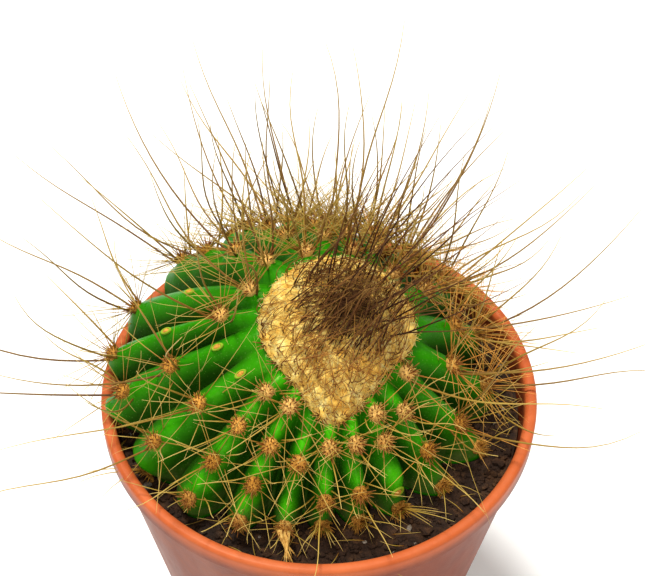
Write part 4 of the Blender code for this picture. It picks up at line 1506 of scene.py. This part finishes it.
def make_wool_fibres(wool):
    draw = random.Random(31)
    fibres = Bristles(3)
    for _ in range(WOOL_FIBRES):
        rib = draw.uniform(0.0, RIBS)
        share = math.sqrt(draw.uniform(0.02, 0.9))
        root, normal = wool_point(rib, share, wool_lift(rib, share) - FIBRE_SINK)
        downhill = unit(wool_point(rib, share + FIBRE_STEP, 0.0)[0] - wool_point(rib, share, 0.0)[0])
        length = draw.uniform(*FIBRE_LENGTH) * (1.0 - 0.6 * share ** 3)
        path = curly_path(draw, root, normal, downhill, length)
        fibres.add(path, draw.uniform(*FIBRE_RADII), draw.random(), FIBRE_TIP)
    return fibres.piece("wool_fibres", wool)


wool = cream_wool()
for wool_piece in (make_wool_cushion(wool), make_wool_fibres(wool)):
    place_piece(wool_piece, "crown_wool")


# The crown's spines. The young spines of the crowded areoles are dark brown and still soft: a dense tuft
# stands at the growing point, combed back and to the right, and shorter ones curl over the wool round it.
TUFT_SPINES = 72
TUFT_SPREAD = 0.0115
TUFT_BACK = 0.0032
TUFT_ROOT = 0.0008
TUFT_GATHERING = 0.45
TUFT_SPLAY = (0.2, 0.9)
TUFT_COMBING = (0.0, 0.35)
TUFT_WANDER = (-0.28, 0.28)
TUFT_CURL = (0.0, 0.75)
TUFT_DROOP = (0.0, 0.4)
TUFT_LENGTH = (0.015, 0.042)
TUFT_LENGTH_PLAY = (0.7, 1.08)
TUFT_RADIUS = 0.00018
SOFT_TIP = 0.25
RADIUS_PLAY = (0.8, 1.3)
CORE_SPINES = 860
CORE_REACH = 0.011
CORE_LENGTH = (0.006, 0.012)
CORE_ARCH = (0.4, 0.7)
CORE_RADIUS = 0.0001
CORE_RADIUS_PLAY = (0.8, 1.25)
CORE_STEPS = 8
RING_SPINES = 190
RING_SHARES = (0.5, 0.97)
RING_LENGTH = (0.007, 0.014)
RING_RADIUS = 0.00009
RING_STEPS = 9
TAIL_SPINES = 90
TAIL_MIDDLE = 0.3
TAIL_RIBS = 2.4
TAIL_SHARES = (0.45, 0.98)
TAIL_LENGTH = (0.003, 0.0075)
TAIL_ARCH = (0.2, 0.4)
TAIL_RADIUS = 0.00007
TAIL_STEPS = 6
TAIL_TIP = 0.3
ROSETTE_RIBS = (-4.5, -3.5, -2.5, -1.5, -0.5, 0.5, 1.5, 2.5, 3.5, 4.5)
ROSETTE_SPINES = 11
ROSETTE_FOOT = 0.0004
ROSETTE_LENGTH = (0.0018, 0.0028)


def crown_height(aside):
    """Height of the plain crown over the body's middle, a distance aside from the axis."""
    return BODY_HALF_HEIGHT * math.sqrt(1.0 - aside.length_squared / BODY_RADIUS ** 2)


def tuft_spine(draw, number, attempt):
    """One dark young spine of the crown. All lean to the back right, and the longest stand on that side."""
    flat = round_crown(2 * math.pi * number * GOLDEN_TURN)
    aside = flat * (TUFT_SPREAD * math.sqrt((number + 0.5) / TUFT_SPINES)) - CROWN_FRONT * TUFT_BACK
    foot = BODY_CENTRE + aside + CROWN_AXIS * (crown_height(aside) - TUFT_ROOT)
    share = (1.0 + flat.dot(COMBED)) / 2
    splay = share * draw.uniform(*TUFT_SPLAY) - (1.0 - share) * TUFT_GATHERING
    aside_aim = COMBED * draw.uniform(*TUFT_COMBING) + ACROSS_COMBED * draw.uniform(*TUFT_WANDER)
    aim = unit(CROWN_AXIS + flat * splay + aside_aim)
    bend = COMBED * draw.uniform(*TUFT_CURL) - CROWN_AXIS * draw.uniform(*TUFT_DROOP)
    least, most = TUFT_LENGTH
    length = (least + (most - least) * share * share) * draw.uniform(*TUFT_LENGTH_PLAY)
    return spine_path(foot, aim, length * SHORTER ** attempt, bend)


def young_horn():
    tawny = [(0.0, (0.15, 0.048, 0.010)), (0.4, (0.27, 0.100, 0.018)), (1.0, (0.44, 0.21, 0.045))]
    dark = [(0.0, (0.020, 0.007, 0.005)), (0.4, (0.037, 0.013, 0.007)),
            (0.75, (0.10, 0.040, 0.011)), (1.0, (0.26, 0.14, 0.035))]
    return horn("young brown spines", 0.6, 0.15, tawny, dark)


def add_tuft(bristles, book):
    """The tuft's main spines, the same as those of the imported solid."""
    draw = random.Random(77)
    sway = random.Random(78)
    for number in range(TUFT_SPINES):
        for attempt in range(ATTEMPTS):
            path = tuft_spine(draw, number, attempt)
            if book.is_clear(path, "crown"):
                book.add(path, "crown")
                line = smooth_path(path, STANDING_STEPS, sway, STANDING_SWAY)
                bristles.add(line, TUFT_RADIUS, 0.75 + 0.25 * sway.random(), STANDING_TIP)
                break


def add_core_spines(bristles):
    """The dense dark core: soft young spines, combed from the front left to the back right."""
    draw = random.Random(9)
    for _ in range(CORE_SPINES):
        share = draw.random() ** 0.95
        flat = round_crown(draw.uniform(0.0, 2 * math.pi))
        aside = flat * (share * CORE_REACH) - CROWN_FRONT * TUFT_BACK
        height = crown_height(aside)
        root = BODY_CENTRE + aside + CROWN_AXIS * height
        normal = unit(aside / BODY_RADIUS ** 2 + CROWN_AXIS * (height / BODY_HALF_HEIGHT ** 2))
        length = draw.uniform(*CORE_LENGTH)
        aim = COMBED * draw.uniform(0.0, 0.6) + ACROSS_COMBED * draw.gauss(0.0, 0.25) - flat * (0.3 * share)
        tip = root + aim * length + CROWN_AXIS * (length * draw.uniform(0.25, 0.65))
        path = arched_path(root, normal, tip, length * draw.uniform(*CORE_ARCH), CORE_STEPS)
        tone = min(1.0, 1.1 - 0.3 * share + draw.uniform(-0.1, 0.1))
        bristles.add(path, CORE_RADIUS * draw.uniform(*CORE_RADIUS_PLAY), tone, SOFT_TIP)


def wool_root(rib, share, sink):
    """A spine's root in the wool, with the directions out of the wool, uphill and across."""
    root, normal = wool_point(rib, share, wool_lift(rib, share) - sink)
    uphill = unit(wool_point(rib, share * 0.9, 0.0)[0] - wool_point(rib, share, 0.0)[0])
    return root, normal, uphill, normal.cross(uphill)


def add_ring_spines(bristles):
    """Brown spines of the young areoles round the core: they bow out over the wool and close in above it."""
    draw = random.Random(12)
    for _ in range(RING_SPINES):
        rib = draw.uniform(0.0, RIBS)
        root, normal, uphill, across = wool_root(rib, draw.uniform(*RING_SHARES), 0.0003)
        length = draw.uniform(*RING_LENGTH)
        bow = -uphill * (length * draw.uniform(0.0, 0.25)) + normal * (length * draw.uniform(0.25, 0.5))
        swirl = across * draw.gauss(0.0, 0.4)
        flow = COMBED * draw.uniform(0.1, 0.8) + uphill * draw.uniform(0.1, 0.7) + swirl
        tip = root + unit(flow) * (length * 0.8) + CROWN_AXIS * (length * draw.uniform(0.1, 0.45))
        path = arched_path(root, unit(bow), tip, bow.length, RING_STEPS)
        bristles.add(path, RING_RADIUS * draw.uniform(*RADIUS_PLAY), draw.uniform(0.0, 0.55), SOFT_TIP)


def add_tail_spines(bristles):
    """Short reddish spines that lie crossed over the wool's tail."""
    draw = random.Random(10)
    for _ in range(TAIL_SPINES):
        rib = draw.gauss(TAIL_MIDDLE, TAIL_RIBS) % RIBS
        root, normal, uphill, across = wool_root(rib, draw.uniform(*TAIL_SHARES), 0.0002)
        turn = draw.gauss(0.0, 1.1)
        length = draw.uniform(*TAIL_LENGTH)
        flow = uphill * math.cos(turn) + across * math.sin(turn)
        tip = root + flow * length + normal * (length * draw.uniform(0.05, 0.25))
        path = arched_path(root, normal, tip, length * draw.uniform(*TAIL_ARCH), TAIL_STEPS)
        bristles.add(path, TAIL_RADIUS * draw.uniform(*RADIUS_PLAY), draw.uniform(0.0, 0.3), TAIL_TIP)


def add_rosettes(bristles):
    """The short stout spines that part the wool like rays in the youngest areoles at its front edge."""
    draw = random.Random(13)
    for rib in ROSETTE_RIBS:
        root, normal, uphill, across = wool_root(rib, TUFT_RINGS[-1], 0.0006)
        for index in range(ROSETTE_SPINES):
            turn = 2 * math.pi * (index + draw.uniform(-0.3, 0.3)) / ROSETTE_SPINES
            flat = uphill * math.cos(turn) + across * math.sin(turn)
            start = root + flat * ROSETTE_FOOT
            tip = start + unit(normal * draw.uniform(0.7, 1.2) + flat) * draw.uniform(*ROSETTE_LENGTH)
            bristles.add([start, start.lerp(tip, 0.5), tip], STUB_RADIUS, draw.uniform(0.2, 0.6), STUB_TIP)


crown = Bristles(5)
add_tuft(crown, spine_book)
for add_spines in (add_core_spines, add_ring_spines, add_tail_spines, add_rosettes):
    add_spines(crown)
place_piece(crown.piece("crown_spines", young_horn()), "crown_wool")


# The view. A pale floor that runs out of sight, a soft round lamp high at the back left, a weaker one in
# front, and the camera above the front of the pot, looking down at the crown.
CAMERA_TARGET = Vector((0.0005, 0.0272, 0.0789))
CAMERA_DISTANCE = 0.3086
CAMERA_HEIGHT_ANGLE = math.radians(47.1)
CAMERA_ROLL = math.radians(0.5)
SENSOR_WIDTH = 36.0
FOCAL_PIXELS = 1400.0
PICTURE_WIDTH = 645.0
FLOOR_RADIUS = 3.0
FLOOR_DROP = 0.0004
LAMP_TARGET = Vector((0.0, 0.0, 0.08))
LAMPS = (
    ("overhead", Vector((-0.4, 0.55, 2.4)), 0.55, 74.0, (1.0, 0.95, 0.86)),
    ("front_fill", Vector((0.1, -1.6, 1.6)), 1.6, 22.0, (1.0, 0.92, 0.80)),
)
SKY_COLOUR = (1.0, 0.96, 0.9, 1.0)
SKY_STRENGTH = 0.38


def pale_floor():
    finish = Finish("pale floor", {"Roughness": 0.85, "Specular IOR Level": 0.2})
    return finish.coat(finish.blend(finish.noise(6.0, 3.0), (0.88, 0.92, 0.97), (0.91, 0.95, 1.0)))


def make_floor():
    bm = bmesh.new()
    bmesh.ops.create_circle(bm, cap_ends=True, segments=96, radius=FLOOR_RADIUS)
    floor = add_piece("floor", bm, pale_floor())
    floor.location.z = -FLOOR_DROP


def add_lamp(name, place, size, power, colour):
    light = bpy.data.lights.new(name, "AREA")
    light.shape = "DISK"
    light.size = size
    light.energy = power
    light.color = colour
    lamp = bpy.data.objects.new(name, light)
    lamp.location = place
    lamp.rotation_euler = (LAMP_TARGET - place).to_track_quat("-Z", "Y").to_euler()
    bpy.context.scene.collection.objects.link(lamp)


def make_sky():
    world = bpy.data.worlds.new("studio")
    world.use_nodes = True
    background = world.node_tree.nodes["Background"]
    background.inputs["Color"].default_value = SKY_COLOUR
    background.inputs["Strength"].default_value = SKY_STRENGTH
    bpy.context.scene.world = world


def make_camera():
    camera = bpy.data.cameras.new("camera")
    camera.sensor_width = SENSOR_WIDTH
    camera.lens = FOCAL_PIXELS * SENSOR_WIDTH / PICTURE_WIDTH
    camera.clip_start = 0.01
    holder = bpy.data.objects.new("camera", camera)
    away = Vector((0.0, -math.cos(CAMERA_HEIGHT_ANGLE), math.sin(CAMERA_HEIGHT_ANGLE)))
    holder.location = CAMERA_TARGET + away * CAMERA_DISTANCE
    aim = (-away).to_track_quat("-Z", "Y") @ Matrix.Rotation(CAMERA_ROLL, 4, "Z").to_quaternion()
    holder.rotation_euler = aim.to_euler()
    bpy.context.scene.collection.objects.link(holder)
    bpy.context.scene.camera = holder


make_floor()
make_sky()
for lamp_values in LAMPS:
    add_lamp(*lamp_values)
make_camera()
bpy.context.scene.view_settings.view_transform = "Standard"
